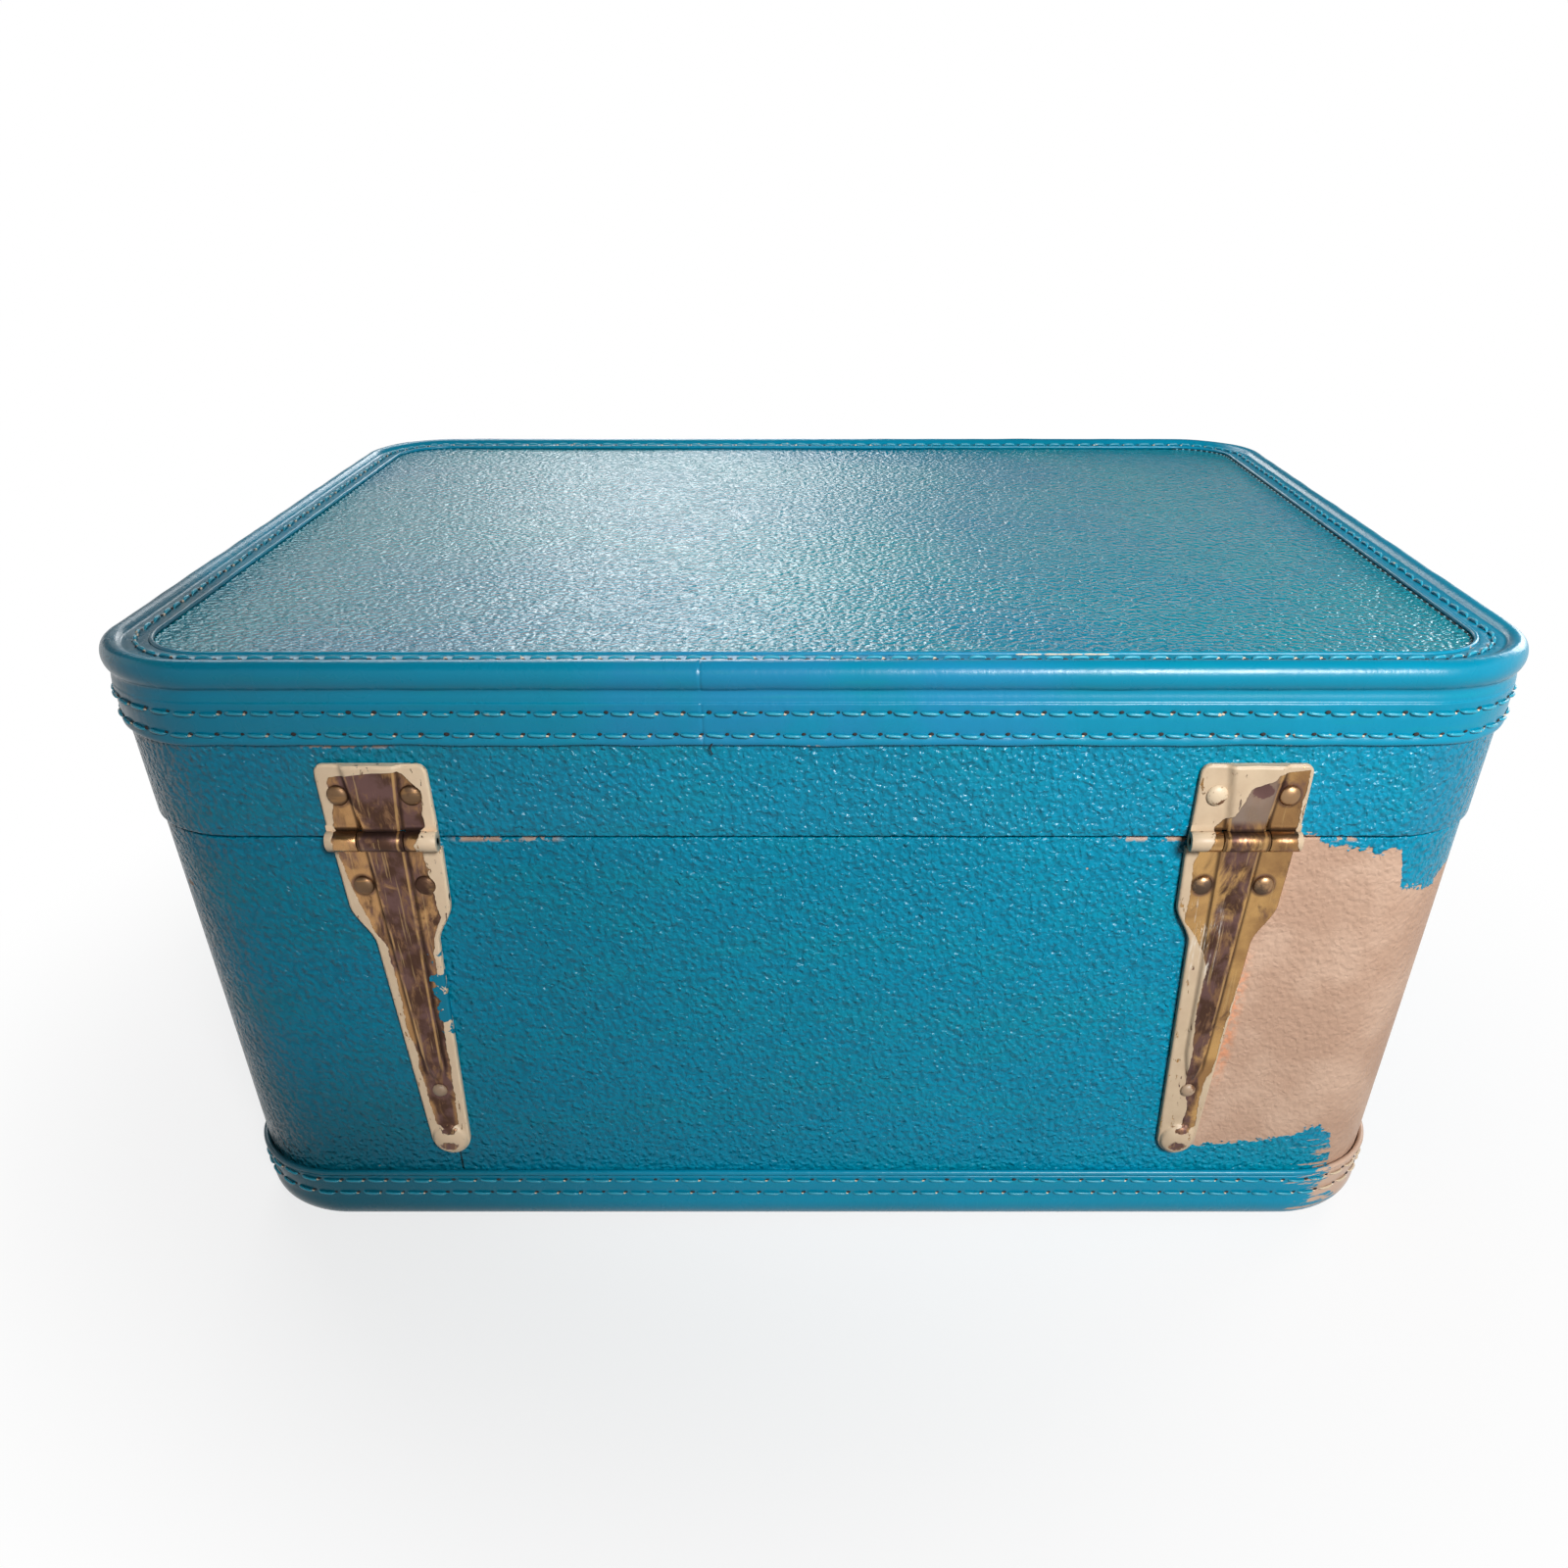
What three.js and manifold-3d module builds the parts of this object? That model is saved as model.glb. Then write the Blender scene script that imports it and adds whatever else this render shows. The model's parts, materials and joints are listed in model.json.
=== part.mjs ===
// A stitched, vinyl-covered hard-shell suitcase, closed and lying on its underside.
// Millimetres, +Z up. The handle and latches face the front (-Y), the hinges the back (+Y).
// The origin is on the surface that the case lies on, under the middle of its whole reach.
import * as THREE from "three";
import { mergeVertices } from "three/addons/utils/BufferGeometryUtils.js";
import Module from "manifold-3d";

const wasm = await Module();
wasm.setup();

// Driving dimensions of the case
const caseWidth = 406; // across the base, left to right
const caseDepth = 330; // across the base, front to back
const cornerRadius = 33; // of the upright corners, on the base's covering
const baseHeight = 150.9; // from the ground to the base's upper edge
const seamGap = 0.9; // open seam between base and lid
const lidHeight = 53.2; // from the lid's lower edge to the top of its rim roll
const lidProud = 1.2; // how far the lid's wall stands out past the base's wall
const seatGap = 0.25; // glued or seated pieces keep this much between them

// Walls of base and lid
const coveringThickness = 1.2;
const wallThickness = 5;
const panelThickness = 4;
const liningThickness = 1;
const padThickness = 2;
const liningSetback = 0.6; // the linings stop short of the seam

// Stitched binding round the edges
const lidBindingThickness = 1;
const baseBindingThickness = 1.6;
const lidBandDrop = 25.1; // from the roll's top down to the band's cut edge
const baseBandHeight = 21.2;
const lidRollRise = 3.2; // the roll's top over the flat strip beside it
const baseRollDrop = 2.2; // the flat strip over the ground
const lidRollWidth = 7;
const lidRollHeight = 10;
const baseRollWidth = 6.4;
const baseRollHeight = 10;
const lidRollProud = 2.1; // past the lid's wall
const baseRollProud = 2.6; // past the base's wall
const baseRollFlat = 0.4; // what wear takes off the bottom of the roll
const lidRollFlat = 0.3; // and off the top of the lid's
const creaseDepth = 0.6;
const creaseDrop = 0.7;
const stripReach = 6.8; // how far in the flat strip reaches
const weltRadius = 1.1;

// Closure lip inside the seam
const lipThickness = 2.2;
const lipRise = 7.5;
const lipDepth = 18;

const overrun = 20; // how far a cut runs past what it cuts

// Rivets and pegs
const rivetHeadRadius = 3.1;
const rivetHeadHeight = 1.5;
const rivetShankRadius = 1.3;
const rivetBite = 4; // how deep a shank ends in the wall
const holeClearance = 0.15;
const smallHeadRadius = 2.5;

// Strap hinges
const hingeEndInset = 76.9; // from the case's end to a hinge's middle
const knuckleRadius = 3;
const hingePinRadius = 1.2;
const pinClearance = 0.12;
const knuckleGap = 0.3;
const middleKnuckleWidth = 13.4;
const strapThickness = 2;
const strapRibRise = 1.3;
const strapRibTopWidth = 11.6;
const strapTopWidth = 32.5;
const strapShoulderWidth = 30.8;
const strapNeckWidth = 19.5;
const strapTailWidth = 13.2;
const strapShoulderDrop = 22;
const strapNeckDrop = 36;
const strapTailGap = 8.75; // from the base's welt up to the strap's end
const strapRibInset = 35.4; // from the strap's end up to the rib's
const strapRibEndWidth = 7.2;
const strapRivetDrop = 15.3;
const strapRivetSpacing = 18.4;
const tailRivetInset = 27.4; // from the strap's end up to its last rivet
const tailBossRise = 1.2;
const leafWidth = 32.3;
const leafBandGap = 5.3; // from the leaf's top up to the lid's band
const leafThickness = 1.6;
const leafRibRise = 1.2;
const leafRibTopWidth = 15.2;
const leafCornerRadius = 3;
const leafRivetInset = 9.1; // from the leaf's top down to its rivets
const leafRivetSpacing = 21;

// Latches
const latchEndInset = 78; // from the case's end to a latch's middle
const latchPlateWidth = 50;
const latchPlateHeight = 36;
const latchPlateThickness = 1.4;
const latchCornerRadius = 4;
const latchSeamDistance = 2.4;
const haspInset = 9;
const haspWidth = 22;
const haspThickness = 1.3;
const haspStandOff = 4.6; // of the hasp's inner face from the base's covering
const haspKnuckleRadius = 2.3;
const haspPinRadius = 1;
const haspKnuckleWidth = 12;
const plateKnuckleWidth = 4.4;
const haspPivotRise = 3.4;
const hookThickness = 1.3;
const hookReach = 1.6; // how far the hook turns in behind the hasp
const hookClearance = 0.3;
const haspRibWidth = 12;
const haspRibRise = 0.8;
const haspRibMargin = 7;
const toothWidth = 2.4;
const toothHeight = 5;
const toothReach = 2;
const keeperWidth = 24;
const keeperHeight = 15;
const keeperRise = 2.6;
const keeperThickness = 1.2;
const keeperLipWidth = 14;
const keeperLipRise = 6.4;
const keeperLipThickness = 1.3;
const keeperPegSpacing = 17;
const keeperPegDrop = 3;
const latchSpringWidth = 8;
const latchSpringThickness = 0.5;
const latchSpringFoot = 8;
const latchSpringLength = 20;
const latchSpringSetback = 7;
const latchRivetInset = 5;

// Slide buttons
const slideInset = 13;
const housingWidth = 19;
const housingHeight = 15;
const housingRise = 4.4;
const housingWall = 1.1;
const housingDrop = 16.5; // of its middle under the plate's top edge
const slotHeight = 3.4;
const slotEndGap = 0.4;
const buttonTravel = 4.5;
const buttonWidth = 9;
const buttonHeight = 8.5;
const buttonRise = 2.6;
const buttonGap = 0.3;
const stemWidth = 5;
const footMargin = 1.2;
const footThickness = 1.2;
const boltHeight = 2.4;

// Handle
const handleDrop = 30; // of its turning line under the base's upper edge
const handleStandOff = 8.5;
const bracketSpacing = 104;
const bracketPlateWidth = 22;
const bracketPlateHeight = 26;
const bracketPlateThickness = 1.5;
const bracketCornerRadius = 5;
const bracketEyeRadius = 4.3;
const bracketEyeWidth = 9.6;
const bracketPegSpacing = 18;
const linkRodRadius = 2;
const linkWidth = 19;
const linkHeight = 17;
const linkCornerRadius = 4;
const linkClearance = 0.3;
const gripDepth = 13;
const gripWidth = 12.5;
const gripDrop = 19; // of the grip's straight run under the link's lower rod
const gripEndRise = 5.5;
const gripBendRadius = 14;

// Lid stay
const stayPivotForward = 80; // in front of the hinge line
const stayPivotOffset = 26.7; // over the seam on the lid, and as far under it on the base
const lidOpenDegrees = 95;
const stayThickness = 2;
const stayWidth = 10;
const staySlotWidth = 4.6;
const stayShankRadius = 2;
const stayHeadRadius = 3.9;
const stayHeadThickness = 1.6;
const stayGap = 0.4;
const stayLipGap = 0.6;
const stayEndMargin = 1.2;

// Counts of flat faces
const cornerSteps = 6;
const linkCornerSteps = 3;
const rodSides = 16;
const rivetSides = 12;
const domeRings = 3;
const rollSteps = 8;
const stripSteps = 3;
const curveSteps = 3;
const gripSteps = 20;
const sameCorner = 1e-4; // corners nearer than this are one

// Colours
const teal = finish(0x0f7893, 0.45, 0);
const tealDark = finish(0x0c6980, 0.4, 0);
const tan = finish(0xb98f63, 0.85, 0);
const fabric = finish(0xc9b79a, 0.95, 0);
const board = finish(0xa98b62, 0.9, 0);
const brass = finish(0xb08a48, 0.35, 1);
const steel = finish(0x8d8f92, 0.35, 1);
const leather = finish(0x0e6e86, 0.5, 0);

// Places worked out from the sizes above
const seam = baseHeight + seamGap; // the lid's lower edge, and the height of the hinge line
const hingeReach = lidProud + seatGap + knuckleRadius;
const backReach = hingeReach + knuckleRadius;
const frontReach = handleStandOff + gripDepth / 2;
const caseMiddleY = (frontReach - backReach) / 2;
const hingeY = caseDepth / 2 + hingeReach;
const wallOuter = -coveringThickness - seatGap; // offsets are from the base's covering, outwards
const wallInner = wallOuter - wallThickness;
const liningOuter = wallInner - seatGap;
const liningInner = liningOuter - liningThickness;
const lipOuter = liningInner - seatGap;
const lipInner = lipOuter - lipThickness;
const lidStripTop = lidHeight - lidRollRise;
const lidCoveringTop = lidStripTop - lidBindingThickness - seatGap;
const lidBoardTop = lidCoveringTop - coveringThickness - seatGap;
const lidPanelBottom = lidBoardTop - panelThickness;
const baseStripTop = baseRollDrop + baseBindingThickness;
const baseCoveringBottom = baseStripTop + seatGap;
const baseBoardBottom = baseCoveringBottom + coveringThickness + seatGap;
const floorTop = baseBoardBottom + panelThickness;
const baseWeltTop = baseBandHeight + seatGap + 2 * weltRadius;
const strapLength = seam - baseWeltTop - strapTailGap;
const strapRibLength = strapLength - strapRibInset;
const tailRivetDrop = strapLength - tailRivetInset;
const leafHeight = lidHeight - lidBandDrop - leafBandGap;
const leafRivetHeight = leafHeight - leafRivetInset;
const hingeX = caseWidth / 2 - hingeEndInset;
const latchX = caseWidth / 2 - latchEndInset;

function finish(color, roughness, metalness) {
  return new THREE.MeshStandardMaterial({ color, roughness, metalness });
}

// Solids

function solidOf(geometry) {
  const bare = geometry.index ? geometry.toNonIndexed() : geometry.clone();
  bare.deleteAttribute("normal");
  bare.deleteAttribute("uv");
  const merged = mergeVertices(bare, sameCorner);
  return new wasm.Manifold(
    new wasm.Mesh({
      numProp: 3,
      vertProperties: merged.attributes.position.array,
      triVerts: new Uint32Array(merged.index.array),
    }),
  );
}

function geometryOf(solid) {
  const mesh = solid.getMesh();
  const geometry = new THREE.BufferGeometry();
  geometry.setAttribute("position", new THREE.BufferAttribute(mesh.vertProperties, 3));
  geometry.setIndex(new THREE.BufferAttribute(mesh.triVerts, 1));
  geometry.computeVertexNormals();
  return geometry;
}

function joined(...geometries) {
  const solids = geometries.map(solidOf);
  return geometryOf(solids.reduce((whole, piece) => whole.add(piece)));
}

function cut(geometry, ...tools) {
  const solids = tools.map(solidOf);
  return geometryOf(solids.reduce((whole, tool) => whole.subtract(tool), solidOf(geometry)));
}

function block(low, high) {
  const size = low.map((value, axis) => high[axis] - value);
  const middle = low.map((value, axis) => (high[axis] + value) / 2);
  return new THREE.BoxGeometry(...size).translate(...middle);
}

function rodAlongX(radius, fromX, toX, y, z, sides = rodSides) {
  const rod = new THREE.CylinderGeometry(radius, radius, toX - fromX, sides);
  return rod.rotateZ(Math.PI / 2).translate((fromX + toX) / 2, y, z);
}

function rodAlongY(radius, fromY, toY, x, z, sides = rivetSides) {
  const rod = new THREE.CylinderGeometry(radius, radius, toY - fromY, sides);
  return rod.translate(x, (fromY + toY) / 2, z);
}

// The case's outline in plan, grown outwards by an offset from the base's covering.
function planOutline(offset) {
  return roundedOutline(caseWidth, caseDepth, cornerRadius, offset, cornerSteps);
}

function roundedOutline(width, depth, corner, offset, steps) {
  const radius = corner + offset;
  const reachX = width / 2 - corner;
  const reachY = depth / 2 - corner;
  const points = [];
  for (let quarter = 0; quarter < 4; quarter++) {
    const middleX = quarter === 0 || quarter === 3 ? reachX : -reachX;
    const middleY = quarter < 2 ? reachY : -reachY;
    for (let step = 0; step <= steps; step++) {
      const angle = ((quarter + step / steps) * Math.PI) / 2;
      points.push([middleX + radius * Math.cos(angle), middleY + radius * Math.sin(angle)]);
    }
  }
  return points;
}

// A closed profile of [offset, height] points swept round the case, or round another outline.
function ringAround(profile, outlineAt = planOutline) {
  const loops = profile.map(([offset]) => outlineAt(offset));
  const steps = loops[0].length;
  const positions = [];
  for (let step = 0; step < steps; step++) {
    profile.forEach(([, height], index) => positions.push(...loops[index][step], height));
  }
  const indices = [];
  for (let step = 0; step < steps; step++) {
    const next = (step + 1) % steps;
    for (let index = 0; index < profile.length; index++) {
      const after = (index + 1) % profile.length;
      const [a, b] = [step * profile.length + index, next * profile.length + index];
      const [c, d] = [next * profile.length + after, step * profile.length + after];
      indices.push(a, b, c, a, c, d);
    }
  }
  const geometry = new THREE.BufferGeometry();
  geometry.setAttribute("position", new THREE.Float32BufferAttribute(positions, 3));
  geometry.setIndex(indices);
  geometry.computeVertexNormals();
  return geometry;
}

function bandProfile(inner, outer, bottom, top) {
  return [
    [inner, bottom],
    [outer, bottom],
    [outer, top],
    [inner, top],
  ];
}

function ellipseArc(middleU, middleZ, radiusU, radiusZ, fromAngle, toAngle, steps) {
  return Array.from({ length: steps + 1 }, (_, step) => {
    const angle = fromAngle + ((toAngle - fromAngle) * step) / steps;
    return [middleU + radiusU * Math.cos(angle), middleZ + radiusZ * Math.sin(angle)];
  });
}

function slab(offset, bottom, top) {
  const shape = new THREE.Shape(planOutline(offset).map(([x, y]) => new THREE.Vector2(x, y)));
  const geometry = new THREE.ExtrudeGeometry(shape, { depth: top - bottom, bevelEnabled: false });
  return geometry.translate(0, 0, bottom);
}

function roundedRectangle(width, height, radius) {
  const shape = new THREE.Shape();
  const [x, z] = [width / 2, height / 2];
  shape.moveTo(-x + radius, -z);
  shape.lineTo(x - radius, -z);
  shape.absarc(x - radius, -z + radius, radius, -Math.PI / 2, 0);
  shape.lineTo(x, z - radius);
  shape.absarc(x - radius, z - radius, radius, 0, Math.PI / 2);
  shape.lineTo(-x + radius, z);
  shape.absarc(-x + radius, z - radius, radius, Math.PI / 2, Math.PI);
  shape.lineTo(-x, -z + radius);
  shape.absarc(-x + radius, -z + radius, radius, Math.PI, Math.PI * 1.5);
  return shape;
}

// A flat plate on the back (face = 1) or front (face = -1), between two distances from the base's covering.
// Its shape is drawn in X and Z, round the point x, z.
function facePlate(face, shape, inner, outer, x, z) {
  const geometry = new THREE.ExtrudeGeometry(shape, {
    depth: outer - inner,
    bevelEnabled: false,
    curveSegments: curveSteps,
  });
  geometry.rotateX(Math.PI / 2);
  const farthestY = face > 0 ? caseDepth / 2 + outer : -caseDepth / 2 - inner;
  return geometry.translate(x, farthestY, z);
}

function faceBlock(face, fromX, toX, inner, outer, bottom, top) {
  const [near, far] = [faceY(face, inner), faceY(face, outer)];
  return block([fromX, Math.min(near, far), bottom], [toX, Math.max(near, far), top]);
}

function faceRod(face, radius, inner, outer, x, z, sides = rivetSides) {
  const [near, far] = [faceY(face, inner), faceY(face, outer)];
  return rodAlongY(radius, Math.min(near, far), Math.max(near, far), x, z, sides);
}

function faceY(face, distance) {
  return face * (caseDepth / 2 + distance);
}

// Rivets: a domed head on a plate, and a shank that ends inside the wall.

function rivet(face, x, z, seat, wallFace, headRadius) {
  const shankEnd = wallFace + wallOuter - rivetBite;
  const profile = [
    new THREE.Vector2(0, shankEnd),
    new THREE.Vector2(rivetShankRadius, shankEnd),
    new THREE.Vector2(rivetShankRadius, seat),
    new THREE.Vector2(headRadius, seat),
  ];
  for (let ring = 1; ring <= domeRings; ring++) {
    const angle = ((ring / domeRings) * Math.PI) / 2;
    const radius = ring === domeRings ? 0 : headRadius * Math.cos(angle);
    profile.push(new THREE.Vector2(radius, seat + rivetHeadHeight * Math.sin(angle)));
  }
  const geometry = new THREE.LatheGeometry(profile, rivetSides);
  if (face < 0) geometry.rotateX(Math.PI);
  return geometry.translate(x, faceY(face, 0), z);
}

function shankHole(face, x, z, wallFace) {
  const end = wallFace + wallOuter - rivetBite - holeClearance;
  return faceRod(face, rivetShankRadius + holeClearance, end, wallFace + overrun, x, z);
}

// Fixing places, shared by the rivets or pegs and the holes that they go in

const hingeXs = { left: -hingeX, right: hingeX };
const latchXs = { left: -latchX, right: latchX };
const bracketXs = { left: -bracketSpacing / 2, right: bracketSpacing / 2 };
const sides = { left: -1, right: 1 };
const handleZ = baseHeight - handleDrop;
const latchPlateTop = baseHeight - latchSeamDistance;
const latchPlateBottom = latchPlateTop - latchPlateHeight;
const keeperBottom = seam + keeperRise;

function strapRivetPlaces(x) {
  return [
    [x - strapRivetSpacing / 2, seam - strapRivetDrop],
    [x + strapRivetSpacing / 2, seam - strapRivetDrop],
    [x, seam - tailRivetDrop],
  ];
}

function leafRivetPlaces(x) {
  return [
    [x - leafRivetSpacing / 2, seam + leafRivetHeight],
    [x + leafRivetSpacing / 2, seam + leafRivetHeight],
  ];
}

function latchRivetPlaces(x, side) {
  const outerX = x + side * (latchPlateWidth / 2 - latchRivetInset);
  return [
    [outerX, latchPlateTop - latchRivetInset],
    [outerX, latchPlateBottom + latchRivetInset],
  ];
}

function keeperPegPlaces(x) {
  const height = keeperBottom + keeperHeight - keeperPegDrop;
  return [
    [x - keeperPegSpacing / 2, height],
    [x + keeperPegSpacing / 2, height],
  ];
}

function bracketPegPlaces(x) {
  return [
    [x, handleZ - bracketPegSpacing / 2],
    [x, handleZ + bracketPegSpacing / 2],
  ];
}

function haspX(name) {
  return latchXs[name] - sides[name] * haspInset;
}

function holesInBase() {
  const holes = [];
  for (const name of Object.keys(sides)) {
    for (const [x, z] of strapRivetPlaces(hingeXs[name])) holes.push(shankHole(1, x, z, 0));
    for (const [x, z] of latchRivetPlaces(latchXs[name], sides[name])) holes.push(shankHole(-1, x, z, 0));
    for (const [x, z] of bracketPegPlaces(bracketXs[name])) holes.push(shankHole(-1, x, z, 0));
    holes.push(shankHole(-1, ...latchPegPlace(name), 0));
  }
  return holes;
}

function holesInLid() {
  const holes = [];
  for (const name of Object.keys(sides)) {
    for (const [x, z] of leafRivetPlaces(hingeXs[name])) holes.push(shankHole(1, x, z, lidProud));
    for (const [x, z] of keeperPegPlaces(haspX(name))) holes.push(shankHole(-1, x, z, lidProud));
  }
  return holes;
}

// The lid stay's two pivots, as far from the hinge line as each other

const stayY = hingeY - stayPivotForward;
const stayFace = caseWidth / 2 + lipInner - stayLipGap; // the arm's face towards the wall
const stayInnerFace = stayFace - stayThickness;
const pivotDistance = Math.hypot(stayPivotForward, stayPivotOffset);
const openAngle = THREE.MathUtils.degToRad(lidOpenDegrees);
const restAngle = 2 * Math.atan2(stayPivotOffset, stayPivotForward);
const shortestStay = 2 * stayPivotOffset;
const longestStay = 2 * pivotDistance * Math.sin((restAngle + openAngle) / 2);

function stayStud(z, wallFace) {
  const wallX = caseWidth / 2 + wallFace;
  const shoulderEnd = wallX + liningInner - seatGap;
  const shoulderStart = stayFace + stayGap;
  const headStart = stayInnerFace - stayGap - stayHeadThickness;
  return joined(
    rodAlongX(rivetShankRadius, shoulderStart, wallX + wallInner + rivetBite, stayY, z, rivetSides),
    rodAlongX(stayHeadRadius, shoulderStart, shoulderEnd, stayY, z),
    rodAlongX(stayShankRadius, headStart, shoulderEnd, stayY, z),
    rodAlongX(stayHeadRadius, headStart, headStart + stayHeadThickness, stayY, z),
  );
}

function stayHole(z, wallFace) {
  const wallX = caseWidth / 2 + wallFace;
  const holeEnd = wallX + wallInner + rivetBite + holeClearance;
  return rodAlongX(rivetShankRadius + holeClearance, wallX + lipInner, holeEnd, stayY, z, rivetSides);
}

function stayArm() {
  const shape = new THREE.Shape();
  const tail = -longestStay - stayEndMargin;
  const half = stayWidth / 2;
  shape.moveTo(half, 0);
  shape.absarc(0, 0, half, 0, Math.PI);
  shape.lineTo(-half, tail);
  shape.absarc(0, tail, half, Math.PI, Math.PI * 2);
  const pivotHole = new THREE.Path();
  pivotHole.absarc(0, 0, staySlotWidth / 2, 0, Math.PI * 2);
  const slot = new THREE.Path();
  slot.absarc(0, -shortestStay, staySlotWidth / 2, 0, Math.PI);
  slot.absarc(0, -longestStay, staySlotWidth / 2, Math.PI, Math.PI * 2);
  shape.holes.push(pivotHole, slot);
  const arm = new THREE.ExtrudeGeometry(shape, {
    depth: stayThickness,
    bevelEnabled: false,
    curveSegments: curveSteps,
  });
  arm.applyMatrix4(basis([0, 1, 0], [0, 0, 1], [1, 0, 0]));
  return arm.translate(stayInnerFace, stayY, seam + stayPivotOffset);
}

function basis(x, y, z) {
  return new THREE.Matrix4().makeBasis(...[x, y, z].map((axis) => new THREE.Vector3(...axis)));
}

// Base: box, covering, binding and lining

function baseShell(add) {
  const holes = holesInBase();
  const stayZ = seam - stayPivotOffset;
  const stayDrill = stayHole(stayZ, 0);
  const wall = ringAround(bandProfile(wallInner, wallOuter, baseBoardBottom, baseHeight));
  add("base_wall", cut(wall, ...holes, stayDrill), board);
  add("base_floor", slab(liningOuter, baseBoardBottom, floorTop), board);
  const skin = ringAround(bandProfile(-coveringThickness, 0, baseBoardBottom, baseHeight));
  add("base_wall_covering", cut(skin, ...holes), teal);
  const underside = slab(wallOuter, baseCoveringBottom, baseCoveringBottom + coveringThickness);
  add("base_floor_covering", underside, teal);
  add("base_edge_binding", ringAround(baseBindingProfile()), tealDark);
  const welt = weltProfile(seatGap + weltRadius, baseWeltTop - weltRadius);
  add("base_welt", ringAround(welt), tealDark);
  const liningBottom = floorTop + seatGap;
  const lining = bandProfile(liningInner, liningOuter, liningBottom, baseHeight - liningSetback);
  add("base_lining", cut(ringAround(lining), stayDrill), fabric);
  add("base_floor_pad", slab(lipOuter, liningBottom, liningBottom + padThickness), fabric);
  add("base_lip", ringAround(bandProfile(lipInner, lipOuter, baseHeight - lipDepth, seam + lipRise)), tan);
}

function baseBindingProfile() {
  const [radiusU, radiusZ] = [baseRollWidth / 2, baseRollHeight / 2];
  const middleU = baseRollProud - radiusU;
  const middleZ = radiusZ - baseRollFlat;
  const bandOuter = seatGap + baseBindingThickness;
  const footAngle = Math.asin(middleZ / radiusZ);
  const bandAngle = Math.acos((bandOuter - middleU) / radiusU);
  const stripAngle = Math.asin((middleZ - baseRollDrop) / radiusZ);
  const arc = (from, to, steps) => ellipseArc(middleU, middleZ, radiusU, radiusZ, from, to, steps);
  return [
    [-stripReach, baseRollDrop],
    ...arc(stripAngle - Math.PI, footAngle - Math.PI, stripSteps),
    ...arc(-footAngle, bandAngle, rollSteps),
    [bandOuter, baseBandHeight],
    [seatGap, baseBandHeight],
    [seatGap, baseStripTop],
    [-stripReach, baseStripTop],
  ];
}

function weltProfile(middleU, middleZ) {
  return ellipseArc(middleU, middleZ, weltRadius, weltRadius, 0, Math.PI * 2, rollSteps).slice(1);
}

// Lid: box, covering, binding and lining, drawn from the seam upwards

function lidShell(add) {
  const raise = (profile) => profile.map(([offset, height]) => [offset + lidProud, height + seam]);
  const lidRing = (profile) => ringAround(raise(profile));
  const lidSlab = (offset, bottom, top) => slab(offset + lidProud, bottom + seam, top + seam);
  const holes = holesInLid();
  const stayDrill = stayHole(seam + stayPivotOffset, lidProud);
  const wall = lidRing(bandProfile(wallInner, wallOuter, 0, lidBoardTop));
  add("lid_wall", cut(wall, ...holes, stayDrill), board);
  add("lid_top_panel", lidSlab(liningOuter, lidPanelBottom, lidBoardTop), board);
  const skin = lidRing(bandProfile(-coveringThickness, 0, 0, lidBoardTop));
  add("lid_wall_covering", cut(skin, ...holes), teal);
  add("lid_top_covering", lidSlab(wallOuter, lidCoveringTop - coveringThickness, lidCoveringTop), teal);
  add("lid_edge_binding", lidRing(lidBindingProfile()), tealDark);
  const weltU = -stripReach - lidProud - weltRadius;
  add("lid_welt", lidRing(weltProfile(weltU, lidCoveringTop + seatGap + weltRadius)), tealDark);
  const liningTop = lidPanelBottom - seatGap;
  const lining = bandProfile(liningInner, liningOuter, liningSetback, liningTop);
  add("lid_lining", cut(lidRing(lining), stayDrill), fabric);
  add("lid_top_lining", lidSlab(lipOuter, liningTop - padThickness, liningTop), fabric);
}

function lidBindingProfile() {
  const [radiusU, radiusZ] = [lidRollWidth / 2, lidRollHeight / 2];
  const middleU = lidRollProud - radiusU;
  const middleZ = lidHeight + lidRollFlat - radiusZ;
  const bandBottom = lidHeight - lidBandDrop;
  const bandOuter = seatGap + lidBindingThickness;
  const creaseU = bandOuter - creaseDepth;
  const creaseAngle = Math.acos((creaseU - middleU) / radiusU);
  const creaseTop = middleZ - radiusZ * Math.sin(creaseAngle);
  const topAngle = Math.asin((lidHeight - middleZ) / radiusZ);
  const stripAngle = Math.PI - Math.asin((lidStripTop - middleZ) / radiusZ);
  const arc = (from, to, steps) => ellipseArc(middleU, middleZ, radiusU, radiusZ, from, to, steps);
  return [
    [seatGap, bandBottom],
    [bandOuter, bandBottom],
    [bandOuter, creaseTop - 2 * creaseDrop],
    [creaseU, creaseTop - creaseDrop],
    ...arc(-creaseAngle, topAngle, rollSteps),
    ...arc(Math.PI - topAngle, stripAngle, stripSteps),
    [-stripReach - lidProud, lidStripTop],
    [-stripReach - lidProud, lidStripTop - lidBindingThickness],
    [seatGap, lidStripTop - lidBindingThickness],
  ];
}

// Hinges

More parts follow.
